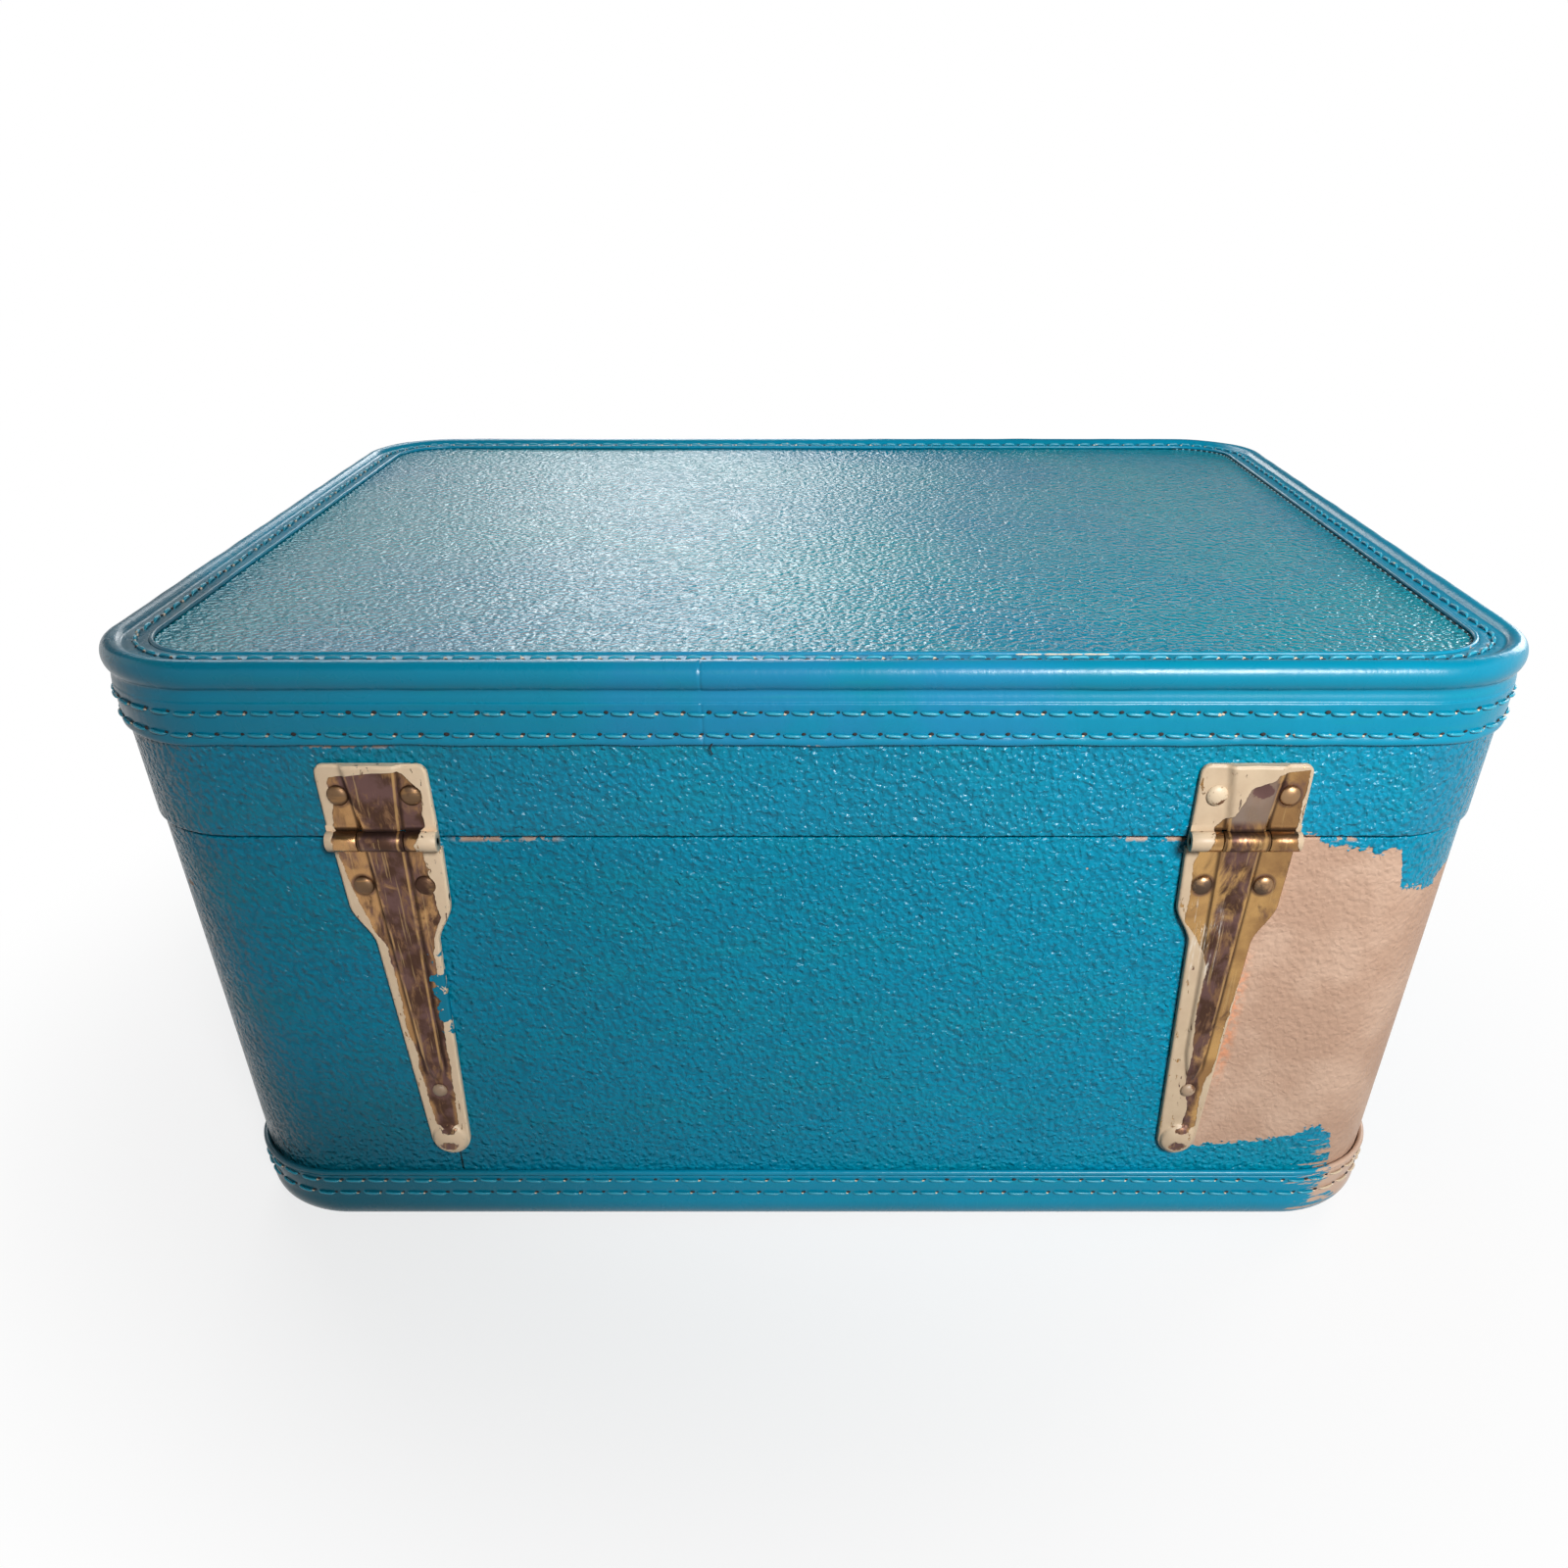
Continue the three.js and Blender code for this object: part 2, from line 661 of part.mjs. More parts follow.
function strapShape() {
  const top = -knuckleRadius - knuckleGap;
  const tailRadius = strapTailWidth / 2;
  const tailMiddle = -strapLength + tailRadius;
  const bend = -(strapShoulderDrop + strapNeckDrop) / 2;
  const shape = new THREE.Shape();
  shape.moveTo(-strapTopWidth / 2, top);
  shape.lineTo(-strapShoulderWidth / 2, -strapShoulderDrop);
  shape.bezierCurveTo(
    ...[-strapShoulderWidth / 2, bend],
    ...[-strapNeckWidth / 2, bend],
    ...[-strapNeckWidth / 2, -strapNeckDrop],
  );
  shape.lineTo(-tailRadius, tailMiddle);
  shape.absarc(0, tailMiddle, tailRadius, Math.PI, Math.PI * 2);
  shape.lineTo(strapNeckWidth / 2, -strapNeckDrop);
  shape.bezierCurveTo(
    ...[strapNeckWidth / 2, bend],
    ...[strapShoulderWidth / 2, bend],
    ...[strapShoulderWidth / 2, -strapShoulderDrop],
  );
  shape.lineTo(strapTopWidth / 2, top);
  return shape;
}

function taperedShape(topWidth, top, bottomWidth, bottom) {
  const shape = new THREE.Shape();
  shape.moveTo(-bottomWidth / 2, bottom);
  shape.lineTo(bottomWidth / 2, bottom);
  shape.lineTo(topWidth / 2, top);
  shape.lineTo(-topWidth / 2, top);
  return shape;
}

function leafShape() {
  const notchX = middleKnuckleWidth / 2 + knuckleGap;
  const notchTop = knuckleRadius + knuckleGap;
  const [x, top] = [leafWidth / 2, leafHeight];
  const shape = new THREE.Shape();
  shape.moveTo(-x, 0);
  shape.lineTo(-notchX, 0);
  shape.lineTo(-notchX, notchTop);
  shape.lineTo(notchX, notchTop);
  shape.lineTo(notchX, 0);
  shape.lineTo(x, 0);
  shape.absarc(x - leafCornerRadius, top - leafCornerRadius, leafCornerRadius, 0, Math.PI / 2);
  shape.absarc(-x + leafCornerRadius, top - leafCornerRadius, leafCornerRadius, Math.PI / 2, Math.PI);
  return shape;
}

function hingeStrap(x) {
  const face = seatGap + strapThickness;
  const knuckleX = middleKnuckleWidth / 2;
  const ribShape = taperedShape(strapRibTopWidth, -knuckleRadius / 2, strapRibEndWidth, -strapRibLength);
  const strap = joined(
    facePlate(1, strapShape(), seatGap, face, x, seam),
    facePlate(1, ribShape, seatGap + strapThickness / 2, face + strapRibRise, x, seam),
    faceRod(1, strapTailWidth / 2 - tailBossRise, face - tailBossRise, face + tailBossRise, x, tailBossZ()),
    rodAlongX(knuckleRadius, x - knuckleX, x + knuckleX, hingeY, seam),
  );
  const holes = strapRivetPlaces(x).map(([rivetX, z]) => shankHole(1, rivetX, z, 0));
  return cut(strap, hingeBore(x), ...holes);
}

function tailBossZ() {
  return seam - strapLength + strapTailWidth / 2;
}

function hingeLeaf(x) {
  const inner = lidProud + seatGap;
  const face = inner + leafThickness;
  const ribShape = taperedShape(leafRibTopWidth, leafHeight, middleKnuckleWidth, knuckleRadius + knuckleGap);
  const nearX = middleKnuckleWidth / 2 + knuckleGap;
  const farX = leafWidth / 2;
  const leaf = joined(
    facePlate(1, leafShape(), inner, face, x, seam),
    facePlate(1, ribShape, inner + leafThickness / 2, face + leafRibRise, x, seam),
    rodAlongX(knuckleRadius, x - farX, x - nearX, hingeY, seam),
    rodAlongX(knuckleRadius, x + nearX, x + farX, hingeY, seam),
  );
  const holes = leafRivetPlaces(x).map(([rivetX, z]) => shankHole(1, rivetX, z, lidProud));
  return cut(leaf, hingeBore(x), ...holes);
}

function hingeBore(x) {
  const reach = leafWidth / 2 + overrun;
  return rodAlongX(hingePinRadius + pinClearance, x - reach, x + reach, hingeY, seam);
}

function hinge(add, name) {
  const x = hingeXs[name];
  add(`hinge_strap_${name}`, hingeStrap(x), brass);
  add(`hinge_leaf_${name}`, hingeLeaf(x), brass);
  const pin = rodAlongX(hingePinRadius, x - leafWidth / 2, x + leafWidth / 2, hingeY, seam);
  add(`hinge_pin_${name}`, pin, steel);
  const strapFace = seatGap + strapThickness;
  strapRivetPlaces(x).forEach(([rivetX, z], index) => {
    const headRadius = index < 2 ? rivetHeadRadius : smallHeadRadius;
    add(`strap_rivet_${name}_${index + 1}`, rivet(1, rivetX, z, strapFace, 0, headRadius), brass);
  });
  leafRivetPlaces(x).forEach(([rivetX, z], index) => {
    const seat = lidProud + seatGap + leafThickness;
    add(`leaf_rivet_${name}_${index + 1}`, rivet(1, rivetX, z, seat, lidProud, rivetHeadRadius), brass);
  });
}

// Latches: on the base a plate with the slide's housing, and the hasp that turns down on its pin; on the lid
// the keeper that the hasp's hook closes over.

const latchPlateCore = seatGap + latchPlateThickness / 2; // where what stands on the plate starts
const latchPlateFace = seatGap + latchPlateThickness;
const haspPivotReach = latchPlateFace + seatGap + haspKnuckleRadius;
const haspPivotZ = latchPlateBottom + haspPivotRise;
const haspPivotY = -caseDepth / 2 - haspPivotReach;
const haspFace = haspStandOff + haspThickness;
const keeperLipBottom = keeperBottom + keeperLipRise;
const haspTop = keeperLipBottom + keeperLipThickness + hookClearance + hookThickness;
const housingZ = latchPlateTop - housingDrop;
const housingFace = latchPlateFace + housingRise;
const cavityFace = housingFace - housingWall;

// A shape drawn in distance from the base's covering and height, run along X on the front.
function frontProfile(points, fromX, toX) {
  const shape = new THREE.Shape(points.map(([distance, z]) => new THREE.Vector2(distance, z)));
  const geometry = new THREE.ExtrudeGeometry(shape, { depth: toX - fromX, bevelEnabled: false });
  geometry.applyMatrix4(basis([0, -1, 0], [0, 0, 1], [-1, 0, 0]));
  return geometry.translate(toX, -caseDepth / 2, 0);
}

// From a distance outwards from a latch's middle to another, whichever side the latch is on.
function outwards(name, from, to) {
  const ends = [latchXs[name] + sides[name] * from, latchXs[name] + sides[name] * to];
  return [Math.min(...ends), Math.max(...ends)];
}

function latchPlate(name) {
  const x = latchXs[name];
  const middleX = haspX(name);
  const middleZ = (latchPlateTop + latchPlateBottom) / 2;
  const outline = roundedRectangle(latchPlateWidth, latchPlateHeight, latchCornerRadius);
  const earStart = haspKnuckleWidth / 2 + knuckleGap;
  const ears = [-1, 1].flatMap((side) => {
    const ends = [middleX + side * earStart, middleX + side * (earStart + plateKnuckleWidth)];
    const [fromX, toX] = [Math.min(...ends), Math.max(...ends)];
    const [bottom, top] = [haspPivotZ - haspKnuckleRadius, haspPivotZ + haspKnuckleRadius];
    return [
      rodAlongX(haspKnuckleRadius, fromX, toX, haspPivotY, haspPivotZ),
      faceBlock(-1, fromX, toX, latchPlateCore, haspPivotReach, bottom, top),
    ];
  });
  const [nearX, farX] = outwards(name, slideInset - housingWidth / 2, slideInset + housingWidth / 2);
  const [bottom, top] = [housingZ - housingHeight / 2, housingZ + housingHeight / 2];
  const [pegX, pegZ] = latchPegPlace(name);
  const plate = joined(
    facePlate(-1, outline, seatGap, latchPlateFace, x, middleZ),
    ...ears,
    faceBlock(-1, nearX, farX, latchPlateCore, housingFace, bottom, top),
    faceRod(-1, rivetShankRadius, wallOuter - rivetBite, latchPlateCore, pegX, pegZ),
  );
  const [innerX, outerX] = [nearX + housingWall, farX - housingWall];
  const cavity = [latchPlateFace, cavityFace, bottom + housingWall, top - housingWall];
  const slotReach = (stemWidth + buttonTravel) / 2 + slotEndGap;
  const [slotNear, slotFar] = outwards(name, slideInset - slotReach, slideInset + slotReach);
  const slotHalf = slotHeight / 2;
  const slot = [latchPlateFace, housingFace + overrun, housingZ - slotHalf, housingZ + slotHalf];
  const [boltNear, boltFar] = outwards(name, 0, slideInset);
  const boltRoom = boltHeight / 2 + buttonGap;
  const boltSlot = [latchPlateFace, cavityFace, housingZ - boltRoom, housingZ + boltRoom];
  return cut(
    plate,
    faceBlock(-1, innerX, outerX, ...cavity),
    faceBlock(-1, slotNear, slotFar, ...slot),
    faceBlock(-1, boltNear, boltFar, ...boltSlot),
    latchBore(x),
    ...latchRivetPlaces(x, sides[name]).map(([rivetX, z]) => shankHole(-1, rivetX, z, 0)),
  );
}

function latchPegPlace(name) {
  return [haspX(name) - (sides[name] * haspWidth) / 4, latchPlateTop - latchRivetInset];
}

function latchHasp(name) {
  const x = haspX(name);
  const half = haspWidth / 2;
  const hookInner = haspStandOff - hookReach;
  const hookBottom = haspTop - hookThickness;
  const sheet = [
    [haspStandOff, haspPivotZ + haspKnuckleRadius + knuckleGap],
    [haspFace, haspPivotZ + haspKnuckleRadius + knuckleGap],
    [haspFace, haspTop],
    [hookInner, haspTop],
    [hookInner, hookBottom],
    [haspStandOff, hookBottom],
  ];
  const neck = [
    [haspStandOff, haspPivotZ],
    [haspFace, haspPivotZ],
    [haspFace, hookBottom],
    [haspStandOff, hookBottom],
  ];
  const edge = haspInset - half;
  const [toothNear, toothFar] = outwards(name, -edge - toothWidth, -edge);
  const hasp = joined(
    frontProfile(sheet, x - half, x + half),
    frontProfile(neck, x - haspKnuckleWidth / 2, x + haspKnuckleWidth / 2),
    rodAlongX(haspKnuckleRadius, x - haspKnuckleWidth / 2, x + haspKnuckleWidth / 2, haspPivotY, haspPivotZ),
    faceBlock(
      ...[-1, x - haspRibWidth / 2, x + haspRibWidth / 2],
      ...[haspStandOff + haspThickness / 2, haspFace + haspRibRise],
      ...[haspPivotZ + haspRibMargin, haspTop - haspRibMargin],
    ),
    faceBlock(
      ...[-1, toothNear, toothFar],
      ...[haspStandOff - toothReach, haspStandOff + haspThickness / 2],
      ...[housingZ - toothHeight / 2, housingZ + toothHeight / 2],
    ),
  );
  return cut(hasp, latchBore(x));
}

function latchBore(x) {
  const reach = latchPlateWidth / 2 + overrun;
  return rodAlongX(haspPinRadius + pinClearance, x - reach, x + reach, haspPivotY, haspPivotZ);
}

function latchPin(name) {
  const reach = haspKnuckleWidth / 2 + knuckleGap + plateKnuckleWidth;
  return rodAlongX(haspPinRadius, haspX(name) - reach, haspX(name) + reach, haspPivotY, haspPivotZ);
}

// A flat spring: its foot lies on the plate and its free end stands close behind the hasp.
function latchSpring(name) {
  const x = haspX(name);
  const footBottom = haspPivotZ + latchSpringSetback;
  const footTop = footBottom + latchSpringFoot;
  const tipTop = footBottom + latchSpringLength;
  const tip = haspStandOff - hookClearance;
  const points = [
    [latchPlateFace, footBottom],
    [latchPlateFace + latchSpringThickness, footBottom],
    [latchPlateFace + latchSpringThickness, footTop],
    [tip, tipTop],
    [tip - latchSpringThickness, tipTop],
    [latchPlateFace, footTop],
  ];
  return frontProfile(points, x - latchSpringWidth / 2, x + latchSpringWidth / 2);
}

function latchButton(name) {
  const middle = slideInset - buttonTravel / 2;
  const toothSide = haspWidth / 2 - haspInset;
  const knob = outwards(name, middle - buttonWidth / 2, middle + buttonWidth / 2);
  const stem = outwards(name, middle - stemWidth / 2, middle + stemWidth / 2);
  const foot = outwards(name, middle - stemWidth / 2 - footMargin, middle + stemWidth / 2 + footMargin);
  const bolt = outwards(name, toothSide + buttonGap, middle);
  const knobInner = housingFace + buttonGap;
  const footOuter = cavityFace - buttonGap;
  const footInner = footOuter - footThickness;
  const stemReach = slotHeight / 2 - buttonGap;
  const footReach = slotHeight / 2 + footMargin;
  const tall = (halfHeight) => [housingZ - halfHeight, housingZ + halfHeight];
  return joined(
    faceBlock(-1, ...knob, knobInner, knobInner + buttonRise, ...tall(buttonHeight / 2)),
    faceBlock(-1, ...stem, footInner, knobInner + buttonRise / 2, ...tall(stemReach)),
    faceBlock(-1, ...foot, footInner, footOuter, ...tall(footReach)),
    faceBlock(-1, ...bolt, footInner, footOuter, ...tall(boltHeight / 2)),
  );
}

function latchKeeper(name) {
  const x = haspX(name);
  const inner = lidProud + seatGap;
  const face = inner + keeperThickness;
  const lipOuter = haspStandOff - hookClearance;
  const pegs = keeperPegPlaces(x).map(([pegX, z]) =>
    faceRod(-1, rivetShankRadius, lidProud + wallOuter - rivetBite, face, pegX, z),
  );
  return joined(
    faceBlock(
      ...[-1, x - keeperWidth / 2, x + keeperWidth / 2],
      ...[inner, face, keeperBottom, keeperBottom + keeperHeight],
    ),
    faceBlock(
      ...[-1, x - keeperLipWidth / 2, x + keeperLipWidth / 2],
      ...[inner + keeperThickness / 2, lipOuter],
      ...[keeperLipBottom, keeperLipBottom + keeperLipThickness],
    ),
    ...pegs,
  );
}

function latch(add, name) {
  add(`latch_plate_${name}`, latchPlate(name), brass);
  add(`latch_hasp_${name}`, latchHasp(name), brass);
  add(`latch_pin_${name}`, latchPin(name), steel);
  add(`latch_spring_${name}`, latchSpring(name), steel);
  add(`latch_button_${name}`, latchButton(name), brass);
  add(`latch_keeper_${name}`, latchKeeper(name), brass);
  latchRivetPlaces(latchXs[name], sides[name]).forEach(([x, z], index) => {
    const seated = rivet(-1, x, z, latchPlateFace, 0, smallHeadRadius);
    add(`latch_rivet_${name}_${index + 1}`, seated, brass);
  });
}

// Handle: two brackets on the base, a link in each, and the grip that hangs on both links

const handleY = -caseDepth / 2 - handleStandOff;
const linkLowerZ = handleZ - linkHeight;

function handleBracket(x) {
  const outline = roundedRectangle(bracketPlateWidth, bracketPlateHeight, bracketCornerRadius);
  const half = bracketEyeWidth / 2;
  const plateFace = seatGap + bracketPlateThickness;
  const pegs = bracketPegPlaces(x).map(([pegX, z]) =>
    faceRod(-1, rivetShankRadius, wallOuter - rivetBite, plateFace, pegX, z),
  );
  const [bottom, top] = [handleZ - bracketEyeRadius, handleZ + bracketEyeRadius];
  const bracket = joined(
    facePlate(-1, outline, seatGap, plateFace, x, handleZ),
    faceBlock(-1, x - half, x + half, plateFace - bracketPlateThickness / 2, handleStandOff, bottom, top),
    rodAlongX(bracketEyeRadius, x - half, x + half, handleY, handleZ),
    ...pegs,
  );
  return cut(bracket, linkBore(x, handleZ));
}

function linkBore(x, z) {
  return rodAlongX(linkRodRadius + linkClearance, x - overrun, x + overrun, handleY, z);
}

function handleLink(x) {
  const outlineAt = (offset) =>
    roundedOutline(linkWidth, linkHeight, linkCornerRadius, offset, linkCornerSteps);
  const section = ellipseArc(0, 0, linkRodRadius, linkRodRadius, 0, Math.PI * 2, rollSteps).slice(1);
  const link = ringAround(section, outlineAt).rotateX(Math.PI / 2);
  return link.translate(x, handleY, handleZ - linkHeight / 2);
}

function handleGrip() {
  const endX = bracketSpacing / 2;
  const topZ = linkLowerZ + gripEndRise;
  const lowZ = linkLowerZ - gripDrop;
  const bendX = endX - gripBendRadius;
  const bendZ = lowZ + gripBendRadius;
  const at = (x, z) => new THREE.Vector3(x, handleY, z);
  const route = new THREE.CurvePath();
  route.add(new THREE.LineCurve3(at(-endX, topZ), at(-endX, bendZ)));
  route.add(new THREE.QuadraticBezierCurve3(at(-endX, bendZ), at(-endX, lowZ), at(-bendX, lowZ)));
  route.add(new THREE.LineCurve3(at(-bendX, lowZ), at(bendX, lowZ)));
  route.add(new THREE.QuadraticBezierCurve3(at(bendX, lowZ), at(endX, lowZ), at(endX, bendZ)));
  route.add(new THREE.LineCurve3(at(endX, bendZ), at(endX, topZ)));
  const section = new THREE.Shape();
  section.absellipse(0, 0, gripDepth / 2, gripWidth / 2, 0, Math.PI * 2);
  const grip = new THREE.ExtrudeGeometry(section, {
    extrudePath: route,
    steps: gripSteps,
    curveSegments: 2 * curveSteps,
    bevelEnabled: false,
  });
  return cut(grip, linkBore(-endX, linkLowerZ), linkBore(endX, linkLowerZ));
}

function handle(add) {
  for (const name of Object.keys(sides)) {
    add(`handle_bracket_${name}`, handleBracket(bracketXs[name]), brass);
    add(`handle_link_${name}`, handleLink(bracketXs[name]), brass);
  }
  add("handle_grip", handleGrip(), leather);
}

function lidStay(add) {
  add("stay_stud", stayStud(seam - stayPivotOffset, 0), steel);
  add("stay_pivot", stayStud(seam + stayPivotOffset, lidProud), steel);
  add("stay_arm", stayArm(), steel);
}

const suitcase = new THREE.Group();
suitcase.position.y = caseMiddleY;

function add(name, geometry, material) {
  const mesh = new THREE.Mesh(geometry, material);
  mesh.name = name;
  suitcase.add(mesh);
}

baseShell(add);
lidShell(add);
for (const name of Object.keys(sides)) {
  hinge(add, name);
  latch(add, name);
}
handle(add);
lidStay(add);

const part = new THREE.Group();
part.add(suitcase);
export default part;
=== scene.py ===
# Looks of a stitched, vinyl-covered hard-shell suitcase, painted teal over beige, seen from behind and above.
import json
import math

import bmesh
import bpy
import numpy as np
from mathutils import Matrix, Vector


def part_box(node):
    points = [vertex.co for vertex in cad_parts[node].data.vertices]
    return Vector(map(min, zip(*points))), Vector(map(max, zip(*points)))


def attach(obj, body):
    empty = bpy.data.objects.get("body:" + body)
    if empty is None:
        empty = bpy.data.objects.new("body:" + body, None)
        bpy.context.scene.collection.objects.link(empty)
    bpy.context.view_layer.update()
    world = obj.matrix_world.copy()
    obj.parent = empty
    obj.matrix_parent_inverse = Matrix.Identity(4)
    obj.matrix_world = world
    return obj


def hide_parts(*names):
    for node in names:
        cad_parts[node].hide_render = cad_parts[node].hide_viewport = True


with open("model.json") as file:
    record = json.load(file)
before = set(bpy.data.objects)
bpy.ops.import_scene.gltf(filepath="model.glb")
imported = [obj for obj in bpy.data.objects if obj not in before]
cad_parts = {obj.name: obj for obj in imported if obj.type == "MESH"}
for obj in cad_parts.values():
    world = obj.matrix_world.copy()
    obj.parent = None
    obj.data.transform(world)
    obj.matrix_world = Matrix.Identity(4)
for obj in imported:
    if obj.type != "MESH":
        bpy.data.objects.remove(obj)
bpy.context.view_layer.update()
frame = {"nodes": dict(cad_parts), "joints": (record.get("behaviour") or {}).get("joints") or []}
MM = 0.001
SEED = 7
random = np.random.default_rng(SEED)
SIDES = ("left", "right")

# Places read from the frame
base_low, base_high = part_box("base_wall_covering")
lid_low, lid_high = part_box("lid_wall_covering")
lid_binding_low, lid_binding_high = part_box("lid_edge_binding")
BASE_BAND_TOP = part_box("base_edge_binding")[1].z
WIDTH = base_high.x - base_low.x
DEPTH = base_high.y - base_low.y
MIDDLE_Y = (base_low.y + base_high.y) / 2
LID_PROUD = lid_high.x - base_high.x
SEAM = lid_low.z
BASE_TOP = base_high.z
BACK_Y = base_high.y
hinge_joint = next(j for j in frame["joints"] if j["name"] == "lid_hinge")
HINGE_Y = hinge_joint["pos_m"][1]

# Sizes of the stitched shell
CORNER = 33 * MM
SEAT_GAP = 0.25 * MM
COVERING = 1.2 * MM
BOARD = 5 * MM
LINING = 1 * MM
LIP = 2.2 * MM
LID_STRIP_REACH = 10.2 * MM
BASE_STRIP_REACH = 9.4 * MM
LID_BAND_OUT = 2.45 * MM
LID_BAND_BOTTOM = lid_binding_low.z
LID_ROLL_TOP = lid_binding_high.z - 2 * MM
LID_STRIP_TOP = LID_ROLL_TOP - 1.65 * MM
LID_STRIP = 0.75 * MM
LID_CREASE = (1.85 * MM, LID_ROLL_TOP - 8.5 * MM)
LID_ROLL = (3.5 * MM, 4.2 * MM)
BASE_BAND_OUT = 1.85 * MM
BASE_ROLL = (8 * MM, 8.6 * MM)
BASE_ROLL_OUT = 2.15 * MM
BASE_STRIP = 2.2 * MM
BEAD = 1.1 * MM
LID_ROWS = (SEAM + 37.3 * MM, SEAM + 31.1 * MM)
BASE_ROWS = (SEAM - 132.5 * MM, SEAM - 138.3 * MM)
TOP_ROW_OFFSET = -6.6 * MM
LID_BEAD = 0.7 * MM
CRACK_OFFSET = -LID_STRIP_REACH - 2 * LID_BEAD - 0.35 * MM
CRACK_PITCH = 4.5 * MM
LID_PITCH = 7.1 * MM
BASE_PITCH = 8 * MM
BUTT_JOINT_S = 31 * MM

LINING_OUT = -COVERING - BOARD - 2 * SEAT_GAP - SEAT_GAP
LIP_OUT = LINING_OUT - LINING - SEAT_GAP


# The outline in plan: s runs round the case from 0 at the middle of the back, growing towards +X.

STRAIGHT_X = WIDTH - 2 * CORNER
STRAIGHT_Y = DEPTH - 2 * CORNER
QUARTER = CORNER * math.pi / 2
ROUND_IT = 2 * STRAIGHT_X + 2 * STRAIGHT_Y + 4 * QUARTER


def around(s):
    """Points of the covering's outline, and its outward normals, at lengths s along it."""
    s = np.mod(np.asarray(s, float), ROUND_IT)
    point, normal = np.zeros((len(s), 2)), np.zeros((len(s), 2))
    begin = np.array([0.0, MIDDLE_Y + DEPTH / 2])
    start = 0.0
    lengths = (STRAIGHT_X / 2, STRAIGHT_Y, STRAIGHT_X, STRAIGHT_Y, STRAIGHT_X / 2)
    for side, length in enumerate(lengths):
        angle = math.pi / 2 * (1 - side)
        out = np.array([math.cos(angle), math.sin(angle)])
        way = np.array([out[1], -out[0]])
        on = (s >= start) & (s <= start + length)
        point[on] = begin + way * (s[on] - start)[:, None]
        normal[on] = out
        start += length
        middle = begin + way * length - out * CORNER
        on = (s > start) & (s < start + QUARTER)
        turn = angle - (s[on] - start) / CORNER
        normal[on] = np.stack([np.cos(turn), np.sin(turn)], 1)
        point[on] = middle + CORNER * normal[on]
        begin = middle + way * CORNER
        start += QUARTER
    return point, normal


def steps_around(step, extra=()):
    """Lengths along the whole outline, from the middle of the front to there again, the last left out."""
    count = int(ROUND_IT / step)
    even = np.linspace(-ROUND_IT / 2, ROUND_IT / 2, count, endpoint=False)
    return np.unique(np.concatenate([even, extra]))


def waves(s, periods, seed):
    """A smooth, repeatable unevenness from about -1 to 1 that closes on itself round the case."""
    phases = np.random.default_rng(seed).uniform(0, 2 * math.pi, len(periods))
    total = sum(
        np.sin(2 * math.pi * round(ROUND_IT / period) * s / ROUND_IT + phase)
        for period, phase in zip(periods, phases)
    )
    return total / len(periods)


# Meshes


def grid_faces(rows, columns, wrap_rows, wrap_columns):
    i = np.arange(rows if wrap_rows else rows - 1)
    j = np.arange(columns if wrap_columns else columns - 1)
    i, j = np.meshgrid(i, j, indexing="ij")
    k, l = (i + 1) % rows, (j + 1) % columns
    quads = [i * columns + j, i * columns + l, k * columns + l, k * columns + j]
    return np.stack(quads, -1).reshape(-1, 4)


def circle(sides):
    """Angles of evenly spaced points round a circle."""
    return np.linspace(0, 2 * math.pi, sides, endpoint=False)


def mesh_piece(name, points, faces, material, uvs=None, sharp=None):
    mesh = bpy.data.meshes.new(name)
    mesh.from_pydata(np.asarray(points).reshape(-1, 3).tolist(), [], [list(f) for f in faces])
    if uvs is not None:
        layer = mesh.uv_layers.new(name="unrolled")
        layer.data.foreach_set("uv", np.asarray(uvs, np.float32).ravel())
    mesh.shade_smooth()
    turned = bmesh.new()
    turned.from_mesh(mesh)
    bmesh.ops.recalc_face_normals(turned, faces=turned.faces)
    turned.to_mesh(mesh)
    turned.free()
    if sharp is not None:
        mesh.set_sharp_from_angle(angle=math.radians(sharp))
    piece = bpy.data.objects.new(name, mesh)
    bpy.context.scene.collection.objects.link(piece)
    piece.data.materials.append(material)
    return piece


def end_caps(rows, columns):
    """The two faces that close a tube of rows of points."""
    last = (rows - 1) * columns
    return [list(range(columns)), [last + j for j in reversed(range(columns))]]


def grid_piece(
    name, points, material, wrap_rows=False, wrap_columns=False, along=None, caps=False, sharp=None
):
    """A mesh from rows of points. along holds each row's place on the map, and one more if they wrap."""
    rows, columns = points.shape[:2]
    faces = grid_faces(rows, columns, wrap_rows, wrap_columns)
    uvs = None
    if along is not None:
        heights = points[:, :, 2].reshape(-1)
        row = faces // columns
        at = np.asarray(along)[row]
        if wrap_rows:
            at[(row == 0) & (row[:, :1] == rows - 1)] = along[rows]
        uvs = np.stack([at, heights[faces]], -1)
    faces = faces.tolist()
    if caps:
        faces += end_caps(rows, columns)
        if uvs is not None:
            ends = [(along[0], h) for h in points[0, :, 2]]
            ends += [(along[rows - 1], h) for h in points[-1, ::-1, 2]]
            uvs = np.concatenate([uvs.reshape(-1, 2), ends])
    return mesh_piece(name, points, faces, material, uvs, sharp)


